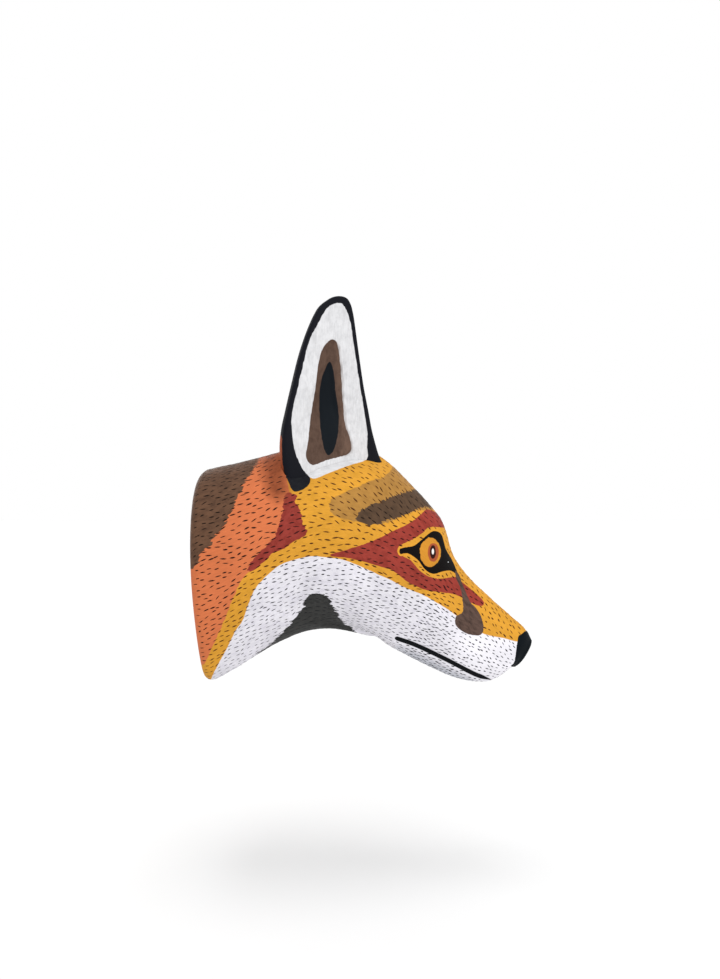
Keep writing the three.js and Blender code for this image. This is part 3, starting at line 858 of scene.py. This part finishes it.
def ear_shape(name, grow, ring_count, top=None, paint=None):
    """An ear from its foot in the saddle to its tip, or only its foot to a height."""
    turn = np.arange(EAR_SIDES) / EAR_SIDES * 2 * np.pi
    ground = sunk_head(SADDLE_DEPTH + grow)
    foot = np.full(EAR_SIDES, 5.0)
    for _ in range(5):
        foot = np.array([foot_height(a, o, ground) for a, o, _ in ear_section(foot, turn, grow)])
    rim = ear_section(foot, turn, grow)
    heart = np.array([rim[:, 0].mean(), 0.0])
    rings = []
    for share in np.linspace(0.1, 0.96, FOOT_RINGS):
        flat = heart + (rim[:, :2] - heart) * share
        rings.append(np.column_stack([flat, [foot_height(a, o, ground) for a, o in flat]]))
    for share in np.linspace(0, 1, ring_count):
        rings.append(ear_section(foot + ((top or EAR_ROUND_FROM) - foot) * share, turn, grow))
    if top:
        return drawn_out(name, ear_place(*np.moveaxis(rings, -1, 0)))

    for rise in np.sin(np.radians(TIP_BENDS)):
        ring = ear_section(EAR_ROUND_FROM + (EAR_TIP[2] - EAR_ROUND_FROM) * rise, turn, grow)
        middle = ring.mean(0)
        ring = middle + (ring - middle) * (math.sqrt(1 - rise ** 3), math.sqrt(1 - rise ** 3), 1)
        ring[:, 0] += (EAR_TIP[0] - middle[0]) * rise ** 2
        rings.append(ring)
    places = ear_place(*np.moveaxis(rings, -1, 0))
    # the hollow face is carved deeper in the brown field, and deeper again in the slit
    spots = side_drawing(places)
    deep = BROWN_DEEP * smooth_step(1.2, -2.6, outside_of(EAR_BROWN, spots))
    deep = deep + SLIT_DEEP * smooth_step(1.0, -2.4, outside_of(EAR_SLIT, spots))
    deep = deep * smooth_step(22, 44, np.array(rings)[..., 2]) * np.clip(-np.sin(turn), 0, 1) ** 0.5
    return drawn_out(name, places + np.array(EAR_STANDS)[:3, 1] * deep[..., None], paint)


def make_ear(name, paint, bare):
    """The right ear with its two peg holes, and all that its paint reads."""
    ear = ear_shape(name, 0.0, EAR_RINGS, paint=paint)
    uncut = points_of(ear)
    for along in PEG_PLACES.values():
        low, high = (ear_place(along + EAR_MIDDLE, PEG_BACK, h)
                     for h in (PEG_LOW, PEG_LOW + PEG_LENGTH + FIT))
        cut(ear, drill(low, high, PEG_RADIUS + FIT), bare)
    points = points_of(ear)
    own = in_ear_measures(points)
    before = nearest(uncut, points)
    over_edge = 8 * np.sin(before % EAR_SIDES / EAR_SIDES * 2 * np.pi) + 0.3
    spots = side_drawing(points)
    note(ear, "flow", np.column_stack([own[:, 2], own[:, 0], own[:, 1]]))
    for zone, outline, *_ in EAR_PAINT:
        away = outside_of(outline, spots)
        # the painted light keeps inside the brown field
        if zone == "ear_brown_lit_edge":
            away = np.maximum(away, outside_of(EAR_BROWN, spots))
        note(ear, zone, away if zone == "ear_orange_shaded" else np.maximum(away, over_edge))
    note(ear, "bare", np.where(before < FOOT_RINGS * EAR_SIDES, -3, 4))
    return smooth(ear, 45)


def make_peg(name, along, wood):
    """A grooved dowel with its ends eased."""
    turn = np.arange(PEG_SIDES) / PEG_SIDES * 2 * np.pi
    groove = np.maximum(0, np.cos(turn * PEG_GROOVES)) ** 3
    middle = along + EAR_MIDDLE
    rings = []
    for high, radius, share in PEG_TURNING:
        size = radius - PEG_GROOVE_DEEP * share * groove
        rings.append(ear_place(middle + size * np.cos(turn), PEG_BACK + size * np.sin(turn),
                               PEG_LOW + high))
    peg = drawn_out(name, rings, wood)
    low = ear_place(middle, PEG_BACK, 0.0)
    note(peg, "flow", (points_of(peg) - low) @ np.array(EAR_STANDS)[:3, :3])
    return smooth(peg, 30)


# ------------------------------------------------------------------ the hanger

def bent_sheet(name, path, thick, width, metal):
    """A strip of sheet bent along a path drawn in the middle plane."""
    path = np.array(path)
    way = np.gradient(path, axis=0)
    way /= np.linalg.norm(way, axis=1, keepdims=True)
    edge = []
    for sx, sy in ((1, 1), (-1, 1), (-1, -1), (1, -1)):
        for bend in np.radians([0, 30, 60, 90]):
            if sx * sy < 0:
                bend = np.pi / 2 - bend
            edge.append((sx * (thick / 2 - SHEET_EDGE * (1 - math.cos(bend))),
                         sy * (width / 2 - SHEET_EDGE * (1 - math.sin(bend)))))
    rings = [[(x + dz * t, across, z - dx * t) for t, across in edge]
             for (x, z), (dx, dz) in zip(path, way)]
    return drawn_out(name, rings, metal)


def make_strap(metal):
    """The tongue: one strip folded round the ring's bar, its two ends lying on each other."""
    px, _, pz = RING_PIVOT
    front_x = STRAP_BACK - 1.5 * STRAP_LEAF - STRAP_AIR
    back_x = STRAP_BACK - STRAP_LEAF / 2
    bend_x = front_x - STRAP_NECK
    drop = math.sqrt((EYE_MEAN_RADIUS + STRAP_NECK) ** 2 - (bend_x - px) ** 2)
    turn_in = math.atan2(drop, px - bend_x)
    path = [(front_x, z) for z in np.linspace(STRAP_LOW + STRAP_LAP, pz - drop - 0.2, 8)]
    for bend in np.linspace(0, turn_in, 10):
        path.append((bend_x + STRAP_NECK * math.cos(bend), pz - drop + STRAP_NECK * math.sin(bend)))
    for bend in np.linspace(turn_in - math.pi, -2 * math.pi, 40)[1:]:
        path.append((px + EYE_MEAN_RADIUS * math.cos(bend), pz + EYE_MEAN_RADIUS * math.sin(bend)))
    path += [(back_x, z) for z in np.linspace(pz - 0.5, STRAP_LOW, 10)]
    strap = bent_sheet("folded_strap", path, STRAP_LEAF, STRAP_WIDTH, metal)
    for height in SCREW_HEIGHTS.values():
        cut(strap, drill((4, 0, height), (14, 0, height), STRAP_HOLE))
    return smooth(strap, 32)


def bend_through(points, steps):
    """A wire's bend that leaves its first point and reaches its last, drawn towards those between."""
    points = np.array(points, float)
    share = np.linspace(0, 1, steps)[:, None]
    n = len(points) - 1
    return sum(math.comb(n, k) * share ** k * (1 - share) ** (n - k) * points[k] for k in range(n + 1))


def make_ring(metal):
    """A D-ring of bent wire whose ends meet inside the strap's eye."""
    bar_end, corner = (RING_HALF_BAR, 0), (RING_HALF_WIDTH, RING_CORNER)
    half = np.vstack([
        bend_through([(RING_SPLIT, 0), bar_end], 6)[:-1],
        bend_through([bar_end, (RING_HALF_WIDTH, 0), corner], 10)[:-1],
        bend_through([corner, (RING_HALF_WIDTH, RING_CORNER + RING_SHOULDER),
                      (RING_SHOULDER, RING_HEIGHT), (0, RING_HEIGHT)], 22)])
    path = np.vstack([half, half[-2::-1] * (-1, 1)])
    way = np.gradient(path, axis=0)
    way /= np.linalg.norm(way, axis=1, keepdims=True)
    turn = np.arange(WIRE_SIDES) / WIRE_SIDES * 2 * np.pi
    round_x, round_y = RING_WIRE * np.cos(turn), RING_WIRE * np.sin(turn)
    rings = [np.stack([round_x, y - round_y * dz, z + round_y * dy], -1)
             for (y, z), (dy, dz) in zip(path, way)]
    lean = np.array(Matrix.Rotation(math.radians(RING_LEAN), 3, "Y"))
    return smooth(softened(drawn_out("d_ring", rings @ lean.T + RING_PIVOT, metal), 0.15, 2, 60), 50)


def make_screw(name, height, metal):
    """A pan-head wood screw: domed head with a cross recess, plain neck, cut thread and point."""
    turn = np.arange(SCREW_SIDES) / SCREW_SIDES * 2 * np.pi
    neck = [(0.15, SCREW_SHANK), (SCREW_PLAIN, SCREW_SHANK)]
    turned = [(x, np.full(SCREW_SIDES, r)) for x, r in SCREW_HEAD + neck]
    for x in np.arange(SCREW_PLAIN + 0.15, SCREW_LENGTH - 0.3, 0.15):
        tooth = 1 - 2 * np.abs(((x / SCREW_PITCH - turn / (2 * np.pi)) % 1) - 0.5)
        high = (SCREW_THREAD - SCREW_SHANK) * np.clip((tooth - 0.45) / 0.5, 0, 1)
        high = high * smooth_step(SCREW_PLAIN, SCREW_PLAIN + 1.2, x)
        narrow = 1 - max(0, x - SCREW_LENGTH + SCREW_POINT) / (SCREW_POINT + 0.2)
        turned.append((x, (SCREW_SHANK + high) * narrow))
    rings = [np.stack(np.broadcast_arrays(SCREW_FACE + x, -r * np.sin(turn), height + r * np.cos(turn)), -1)
             for x, r in turned]
    screw = drawn_out(name, rings, metal)
    top = SCREW_FACE - SCREW_HEAD_HIGH
    for wide, tall in ((CROSS_LONG, CROSS_WIDE), (CROSS_WIDE, CROSS_LONG)):
        blade = block((top - CROSS_DEEP, -wide / 2, height - tall / 2),
                      (top + CROSS_DEEP, wide / 2, height + tall / 2))
        pick(blade, "FACE", lambda face: face.normal.x > 0.5)
        bpy.ops.transform.resize(value=(1, CROSS_NARROWS, CROSS_NARROWS))
        bpy.ops.object.mode_set(mode="OBJECT")
        cut(screw, blade)
    return smooth(screw, 34)


# ------------------------------------------------------------------ the fur marks

def coat_at(spots):
    """For each spot the last of the marked coats that covers it, counted from one; 0 is the ground."""
    outlines = {zone: outline for zone, outline, *_ in HEAD_PAINT}
    found = np.zeros(len(spots), int)
    for k, zone in enumerate(MARKED_COATS):
        found = np.where(outside_of(outlines[zone], spots) < 0.2, k + 1, found)
    return found


def under_an_ear(points):
    """Whether a place on the head lies in or right beside an ear's saddle."""
    own = in_ear_measures(points)
    middle, half, thick, _ = ear_girth(own[:, 2])
    beside = ((np.abs(own[:, 0] - middle) / (half + MARKS_CLEAR)) ** 2
              + (np.abs(own[:, 1]) / (thick / 2 + MARKS_CLEAR)) ** 4 < 1)
    return beside & (own[:, 2] > -22) & (own[:, 2] < 60)


def mark_places():
    """Where the fur marks go: hoops of short strokes round the head, each hoop shifted by half."""
    places, turns = [], []
    even, length = even_places(400, 0.012)
    share = np.linspace(0, 1, 400)
    circle = np.linspace(0, 2 * np.pi, 241)
    under = smooth_step(-0.7, -0.9, np.cos(circle))
    s, hoop = 0.6, 0
    while s < length - 4:
        ring = head_point(np.interp(s / length, share, even), circle)
        on_muzzle = s >= MUZZLE_FROM
        white_gap = (3.3 if s < 95 else 2.8) + 0.8 * under
        gap = np.where(coat_at(side_drawing(ring)) == WHITE_COAT, white_gap, MARK_GAP)
        if on_muzzle:
            gap = 0.9 * gap
        step = np.linalg.norm(np.diff(ring, axis=0), axis=1) / gap[1:]
        run = np.concatenate([[0], np.cumsum(step)])
        for at in np.arange(0.25 + 0.5 * (hoop % 2), run[-1], 1.0):
            places.append(np.interp((s + random.uniform(-1.1, 1.1)) / length, share, even))
            turns.append(np.interp(at + random.uniform(-0.22, 0.22), run, circle))
        s += 3.5 if on_muzzle else 4.3
        hoop += 1
    return np.array(places), np.array(turns)


def room_for_marks(points, spots):
    """Which places take a fur mark: all but the ears, eye, nose, tear, mouth and the wall's edge."""
    room = ~under_an_ear(points) & (points[:, 0] > 1.5) & (np.abs(mouth_at(spots)[1]) > 1.7)
    for outline, clear in ((EYE_ALMOND, 0.9), (NOSE, 0.9), (TEAR, 0.5)):
        room &= outside_of(outline, spots) > clear
    behind_ear = in_ear_measures(points)[:, 1] + 2
    for outline in (EAR_FACE, EAR_FOOT_BLACK):
        room &= np.maximum(outside_of(outline, spots), behind_ear) > 0.8
    return room


def one_mark():
    """One touch of the brush: a lens of thick paint, pointed where it starts and where it lifts."""
    turn = np.radians([0, 90, 180, 270])
    rings = [np.stack([np.full(4, x), w / 2 * np.cos(turn),
                       np.where(np.sin(turn) > 0.5, w, np.where(np.sin(turn) < -0.5, -0.6, 0.0))], -1)
             for x, w in ((-0.5, 0.12), (-0.2, 0.9), (0.15, 1.0), (0.5, 0.1))]
    return drawn_out("fur_mark", rings)


def fur_lie(places, turns, points, spots, out):
    """The way each fur mark lies and the way across it: along the head, but flatter on cheek and crown."""
    along = head_point(np.minimum(places + NUDGE, 1), turns) - head_point(places, turns)
    along -= out * (along * out).sum(1)[:, None]
    along /= np.linalg.norm(along, axis=1)[:, None]
    falls = np.minimum(np.arctan2(along[:, 2], along[:, 0]), 0)
    flatter = -0.5 * falls * smooth_step(178, 140, spots[:, 0]) - 0.4 * smooth_step(160, 186, spots[:, 0])
    flatter = flatter - 0.5 * smooth_step(20, 46, spots[:, 1]) * smooth_step(60, 78, spots[:, 0])
    tilt = np.where(points[:, 1] < 0, flatter, -flatter) + [random.gauss(0, 0.17) for _ in places]
    way = along * np.cos(tilt)[:, None] + np.cross(out, along) * np.sin(tilt)[:, None]
    return way, np.cross(out, way)


def make_marks(ink, head):
    """All the fur marks: one touch of paint made once, and a copy laid on the head for each stroke."""
    places, turns = mark_places()
    points, out = carved(places, turns)
    spots = side_drawing(points)
    room = room_for_marks(points, spots)
    places, turns, points, out, spots = (v[room] for v in (places, turns, points, out, spots))
    coat = coat_at(spots)
    on_white = coat == WHITE_COAT
    _, above, beyond, _ = mouth_at(spots)
    on_jaw = (above < 0) & ~beyond & (spots[:, 0] > 118)

    lengths = np.array([random.uniform(*MARK_LENGTH) for _ in places])
    lengths *= np.where(on_white, WHITE_MARK_SIZE, 1.0) * np.where(spots[:, 0] > 150, 0.8, 1.0)
    widths = np.array([random.uniform(*MARK_WIDTH) for _ in places])
    widths *= np.where(on_jaw, JAW_MARK_SIZE, np.where(on_white, WHITE_MARK_SIZE, 1.0))
    way, aside = fur_lie(places, turns, points, spots, out)

    touch = one_mark()
    shape, faces = points_of(touch), [tuple(face.vertices) for face in touch.data.polygons]
    bpy.data.objects.remove(touch)
    skin = BVHTree.FromPolygons(points_of(head).tolist(), [tuple(f.vertices) for f in head.data.polygons])
    made = []
    for x, y, high in shape:
        laid = points + way * (x * lengths)[:, None] + aside * (y * widths)[:, None]
        laid = np.array([skin.find_nearest(p)[0] for p in laid.tolist()])
        made.append(laid + out * (high * MARK_HIGH))
    made = np.stack(made, 1).reshape(-1, 3) * MM
    all_faces = [tuple(v + k * len(shape) for v in face) for k in range(len(places)) for face in faces]
    mesh = bpy.data.meshes.new("fur_marks")
    mesh.from_pydata(made.tolist(), [], all_faces)
    mesh.materials.append(ink)
    marks = bpy.data.objects.new("fur_marks", mesh)
    bpy.context.scene.collection.objects.link(marks)

    colours = []
    for k, jaw in zip(coat, on_jaw):
        strength = random.uniform(0.75, 1.3)
        if k == WHITE_COAT:
            strength = random.choice(JAW_MARK_STRENGTHS if jaw else WHITE_MARK_STRENGTHS)
        colours.append((*np.clip(np.array(linear(MARK_COLOURS[k])[:3]) * strength, 0, 1), 1.0))
    layer = mesh.attributes.new("ink", "FLOAT_COLOR", "POINT")
    layer.data.foreach_set("color", np.repeat(np.array(colours, np.float32), len(shape), 0).ravel())
    return smooth(marks, 60)


# ------------------------------------------------------------------ paints, woods and metal

def linear(hex_colour):
    """An sRGB hex colour as the linear colour a material takes."""
    parts = [int(hex_colour[k:k + 2], 16) / 255 for k in (1, 3, 5)]
    return (*(p / 12.92 if p <= 0.04045 else ((p + 0.055) / 1.055) ** 2.4 for p in parts), 1.0)


def add(tree, kind, sockets=None, **settings):
    """Adds a node with its settings, each socket given a value or another node's output."""
    new = tree.nodes.new("ShaderNode" + kind)
    for name, value in settings.items():
        setattr(new, name, value)
    for name, value in (sockets or {}).items():
        if isinstance(value, bpy.types.NodeSocket):
            tree.links.new(value, new.inputs[name])
        else:
            new.inputs[name].default_value = value
    return new.outputs


def new_material(name):
    """An empty material, its tree, and its surface."""
    material = bpy.data.materials.new(name)
    material.use_nodes = True
    tree = material.node_tree
    surface = tree.nodes["Principled BSDF"]
    return material, tree, surface


def field_share(tree, field, teeth, ragged, soft):
    """One inside a painted field and nought outside it, its edge broken up by the brush's teeth."""
    edge = add(tree, "Math", {0: teeth, 1: -0.5}, operation="ADD")[0]
    edge = add(tree, "Math", {0: edge, 1: 2 * ragged}, operation="MULTIPLY")[0]
    away = add(tree, "Attribute", attribute_name=field)[2]
    away = add(tree, "Math", {0: away, 1: edge}, operation="ADD")[0]
    return add(tree, "MapRange", {0: away, 1: soft, 2: -soft, 3: 0.0, 4: 1.0})[0]


def laid_over(tree, under, coat, share):
    """A coat laid over what is under it, as far as its share."""
    return add(tree, "Mix", {0: share, 6: under, 7: coat}, data_type="RGBA")[2]


def wood_colour(tree, pale, dark, along, pith=None):
    """The colour of sanded wood and its grain's height: straight faint grain, and growth rings about
    5 mm apart on the sawn end where a pith is given."""
    place = add(tree, "TexCoord")["Object"]
    # grain lines about 1 mm apart, drawn out along the piece
    lines = add(tree, "Mapping", {0: place, 3: along})[0]
    grain = add(tree, "TexNoise", {"Vector": lines, "Scale": 1.0, "Detail": 5.0, "Roughness": 0.6})[0]
    drift = add(tree, "TexNoise", {"Vector": place, "Scale": 35.0, "Detail": 2.0})[0]
    share = add(tree, "MapRange", {0: grain, 1: 0.32, 2: 0.68, 3: 0.0, 4: 1.0})[0]
    colour = laid_over(tree, linear(dark), linear(pale), share)
    tone = add(tree, "MapRange", {0: drift, 1: 0.3, 2: 0.7, 3: 0.9, 4: 1.05})[0]
    if pith:
        round_pith = add(tree, "Mapping", {0: place, 1: pith})[0]
        years = add(tree, "TexWave", {"Vector": round_pith, "Scale": 62.0, "Distortion": 7.0, "Detail": 3.0,
                                      "Detail Scale": 0.6}, wave_type="RINGS", rings_direction="X")[1]
        years = add(tree, "MapRange", {0: years, 1: 0.3, 2: 1.0, 3: 1.0, 4: 0.89})[0]
        tone = add(tree, "Math", {0: tone, 1: years}, operation="MULTIPLY")[0]
    return add(tree, "VectorMath", {0: colour, 3: tone}, operation="SCALE")[0], grain


def bare_wood(name, pale, dark, along, roughness, pith=None):
    """Sanded wood with no varnish: pale and dry, its grain just to be felt."""
    material, tree, surface = new_material(name)
    colour, grain = wood_colour(tree, pale, dark, along, pith)
    tree.links.new(colour, surface.inputs["Base Color"])
    rough = add(tree, "MapRange", {0: grain, 1: 0.3, 2: 0.7, 3: roughness - 0.08, 4: roughness + 0.08})[0]
    tree.links.new(rough, surface.inputs["Roughness"])
    bump = add(tree, "Bump", {"Height": grain, "Strength": 0.4, "Distance": 0.0002})[0]
    tree.links.new(bump, surface.inputs["Normal"])
    surface.inputs["IOR"].default_value = 1.5
    return material


def painted(name, ground, layers, roughness):
    """Matt acrylic brushed over sanded copal wood: flat colours with ragged brushed edges, faint
    streaks along the fur's lie, and the carver's knife facets showing softly through."""
    material, tree, surface = new_material(name)
    flow = add(tree, "Attribute", attribute_name="flow")[1]
    # brush hairs: streaks about 0.8 mm wide and 6 mm long
    hair = add(tree, "Mapping", {0: flow, 3: (0.16, 1.25, 1.25)})[0]
    streaks = add(tree, "TexNoise", {"Vector": hair, "Scale": 1.0, "Detail": 3.0, "Roughness": 0.6})[0]
    # the teeth that separate strokes leave along an edge: about 1.2 mm wide and 5 mm long
    tooth = add(tree, "Mapping", {0: flow, 3: (0.2, 0.8, 0.8)})[0]
    teeth = add(tree, "TexNoise", {"Vector": tooth, "Scale": 1.0, "Detail": 1.2, "Roughness": 0.6})[0]
    # drifts of thin and thick paint, about 22 mm across
    drift = add(tree, "TexNoise", {"Vector": flow, "Scale": 0.045, "Detail": 2.0})[0]
    # clouds of a second tone in each coat, 3 to 5 mm across
    cloud = add(tree, "Mapping", {0: flow, 3: (0.2, 0.32, 0.32)})[0]
    cloud = add(tree, "TexNoise", {"Vector": cloud, "Scale": 1.0, "Detail": 6.0, "Roughness": 0.72})[0]
    mottle = add(tree, "MapRange", {0: cloud, 1: 0.44, 2: 0.68, 3: 0.0, 4: 0.85})[0]

    colour = linear(ground)
    for field, _, paint, ragged, soft in layers:
        coat = linear(paint)
        if field in MOTTLES:
            coat = laid_over(tree, coat, linear(MOTTLES[field]), mottle)
        colour = laid_over(tree, colour, coat, field_share(tree, field, teeth, ragged, soft))
        if field == "eye":
            colour = eye_ball(tree, colour)
    tone = add(tree, "MapRange", {0: streaks, 1: 0.3, 2: 0.7, 3: 0.92, 4: 1.06})[0]
    tone_drift = add(tree, "MapRange", {0: drift, 1: 0.3, 2: 0.7, 3: 0.93, 4: 1.06})[0]
    tone = add(tree, "Math", {0: tone, 1: tone_drift}, operation="MULTIPLY")[0]
    colour = add(tree, "VectorMath", {0: colour, 3: tone}, operation="SCALE")[0]
    # bare wood where the brush stopped short
    wood, _ = wood_colour(tree, *COPAL, PITH)
    colour = laid_over(tree, colour, wood, field_share(tree, "bare", teeth, 1.5, 0.15))
    tree.links.new(colour, surface.inputs["Base Color"])
    matt = add(tree, "MapRange", {0: streaks, 1: 0.3, 2: 0.7, 3: roughness - 0.06, 4: roughness + 0.08})[0]
    tree.links.new(matt, surface.inputs["Roughness"])
    height = add(tree, "Math", {0: streaks, 1: 0.35, 2: drift}, operation="MULTIPLY_ADD")[0]
    bump = add(tree, "Bump", {"Height": height, "Strength": 0.35, "Distance": 0.0003})[0]
    tree.links.new(bump, surface.inputs["Normal"])
    surface.inputs["IOR"].default_value = 1.47
    surface.inputs["Specular IOR Level"].default_value = PAINT_SHINE
    return material


def eye_ball(tree, colour):
    """The painted eyeball: amber iris, rust ring and dark pupil, with a painted highlight on the pupil and
    a painted glint in the black.
    """
    side = add(tree, "Attribute", attribute_name="side")[1]
    wobble = add(tree, "TexNoise", {"Vector": side, "Scale": 0.35, "Detail": 1.0})[0]
    wobble = add(tree, "MapRange", {0: wobble, 3: -0.12, 4: 0.12})[0]
    for middle, size, paint in EYE_PAINT_AND_HIGHLIGHTS:
        away = add(tree, "VectorMath", {0: side, 1: (*middle, 0)}, operation="SUBTRACT")[0]
        away = add(tree, "VectorMath", {0: away, 1: (*size, 1)}, operation="DIVIDE")[0]
        far = add(tree, "VectorMath", {0: away}, operation="LENGTH")[1]
        far = add(tree, "Math", {0: far, 1: wobble}, operation="ADD")[0]
        soft = 0.12 / size[0]
        share = add(tree, "MapRange", {0: far, 1: 1 + soft, 2: 1 - soft, 3: 0.0, 4: 1.0})[0]
        colour = laid_over(tree, colour, linear(paint), share)
    return colour


def zinc_plate(name):
    """Bright zinc plate on pressed steel: grey with a bluish cast, clouded and lightly scratched."""
    material, tree, surface = new_material(name)
    place = add(tree, "TexCoord")["Object"]
    cloud = add(tree, "TexNoise", {"Vector": place, "Scale": 260.0, "Detail": 4.0})[0]
    scratch = add(tree, "Mapping", {0: place, 3: (2600, 2600, 260)})[0]
    scratch = add(tree, "TexNoise", {"Vector": scratch, "Scale": 1.0, "Detail": 3.0})[0]
    share = add(tree, "MapRange", {0: cloud, 1: 0.35, 2: 0.65, 3: 0.0, 4: 1.0})[0]
    colour = laid_over(tree, linear("#a9adb2"), linear("#c9cccf"), share)
    tree.links.new(colour, surface.inputs["Base Color"])
    rough = add(tree, "MapRange", {0: scratch, 1: 0.3, 2: 0.7, 3: 0.24, 4: 0.42})[0]
    tree.links.new(rough, surface.inputs["Roughness"])
    bump = add(tree, "Bump", {"Height": scratch, "Strength": 0.12, "Distance": 0.00005})[0]
    tree.links.new(bump, surface.inputs["Normal"])
    surface.inputs["Metallic"].default_value = 1.0
    return material


def thinned_ink(name):
    """Thinned dark acrylic, laid on in single touches of a fine brush: each touch its own strength."""
    material, tree, surface = new_material(name)
    touch = add(tree, "Attribute", attribute_name="ink")[0]
    place = add(tree, "TexCoord")["Object"]
    grain = add(tree, "TexNoise", {"Vector": place, "Scale": 1800.0, "Detail": 2.0})[0]
    tone = add(tree, "MapRange", {0: grain, 1: 0.3, 2: 0.7, 3: 0.8, 4: 1.25})[0]
    colour = add(tree, "VectorMath", {0: touch, 3: tone}, operation="SCALE")[0]
    tree.links.new(colour, surface.inputs["Base Color"])
    surface.inputs["Roughness"].default_value = 0.6
    surface.inputs["IOR"].default_value = 1.47
    surface.inputs["Specular IOR Level"].default_value = PAINT_SHINE
    return material


# ------------------------------------------------------------------ the fox put together

copal = bare_wood("sanded_copal_wood", *COPAL, 0.72, PITH)
dowel = bare_wood("turned_birch_dowel", "#dcc096", "#c7a273", (700, 700, 45), 0.6)
zinc = zinc_plate("bright_zinc_plated_steel")
head_paint = painted("brushed_acrylic_on_copal", HEAD_GROUND, HEAD_PAINT, 0.56)
ear_paint = painted("brushed_acrylic_on_ears", EAR_COAT, EAR_PAINT, 0.52)
ink = thinned_ink("thinned_dark_acrylic")

head = make_head(head_paint, copal)
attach(head, "head")
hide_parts("head_block")

marks = make_marks(ink, head)
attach(marks, "head")

right_ear = make_ear("carved_right_ear", ear_paint, copal)
left_ear = mirrored(right_ear, "carved_left_ear")
for ear, body in ((right_ear, "right_ear"), (left_ear, "left_ear")):
    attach(ear, body)
    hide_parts(body)

for where, along in PEG_PLACES.items():
    right_peg = make_peg("right_%s_dowel" % where, along, dowel)
    left_peg = mirrored(right_peg, "left_%s_dowel" % where)
    for peg, side in ((right_peg, "right"), (left_peg, "left")):
        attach(peg, side + "_ear")
        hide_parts("%s_ear_%s_peg" % (side, where))

strap = make_strap(zinc)
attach(strap, "head")
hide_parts("hanger_strap")
for where, height in SCREW_HEIGHTS.items():
    screw = make_screw("wood_screw_" + where, height, zinc)
    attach(screw, "head")
    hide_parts("hanger_%s_screw" % where)
ring = make_ring(zinc)
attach(ring, "ring")
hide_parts("hanger_ring")

# ------------------------------------------------------------------ the studio

only(None)
bpy.ops.mesh.primitive_plane_add(size=12, location=(0, 0, FLOOR))
floor = bpy.context.object
floor.name = "white_floor"
floor_paint, tree, surface = new_material("white_studio_floor")
tone = add(tree, "TexNoise", {"Vector": add(tree, "TexCoord")["Object"], "Scale": 6.0, "Detail": 2.0})[0]
tone = laid_over(tree, linear("#e2e2e2"), linear("#e4e4e4"), tone)
tree.links.new(tone, surface.inputs["Base Color"])
surface.inputs["Roughness"].default_value = 0.9
surface.inputs["Specular IOR Level"].default_value = 0.1
floor.data.materials.append(floor_paint)

studio = bpy.context.scene.world or bpy.data.worlds.new("studio")
bpy.context.scene.world = studio
studio.use_nodes = True
sky = studio.node_tree.nodes.get("Background") or studio.node_tree.nodes.new("ShaderNodeBackground")
sky.inputs["Color"].default_value = (1, 1, 1, 1)
sky.inputs["Strength"].default_value = WHITE_ROOM

for name, (way, spread, strength) in SOFT_LIGHTS.items():
    bpy.ops.object.light_add(type="SUN", location=Vector(way) * 1.5)
    light = bpy.context.object
    light.name = name
    light.rotation_euler = Vector(way).to_track_quat("Z", "Y").to_euler()
    light.data.angle = math.radians(spread)
    light.data.energy = strength

bpy.ops.object.camera_add(location=(SIDE_EYE[0] * MM, -SIDE_DISTANCE * MM, SIDE_EYE[1] * MM),
                          rotation=(math.pi / 2, 0, 0))
camera = bpy.context.object
camera.name = "side_camera"
camera.data.lens = SIDE_LENS
camera.data.sensor_width = 36
bpy.context.scene.camera = camera
bpy.context.scene.view_settings.view_transform = "Standard"

only(None)
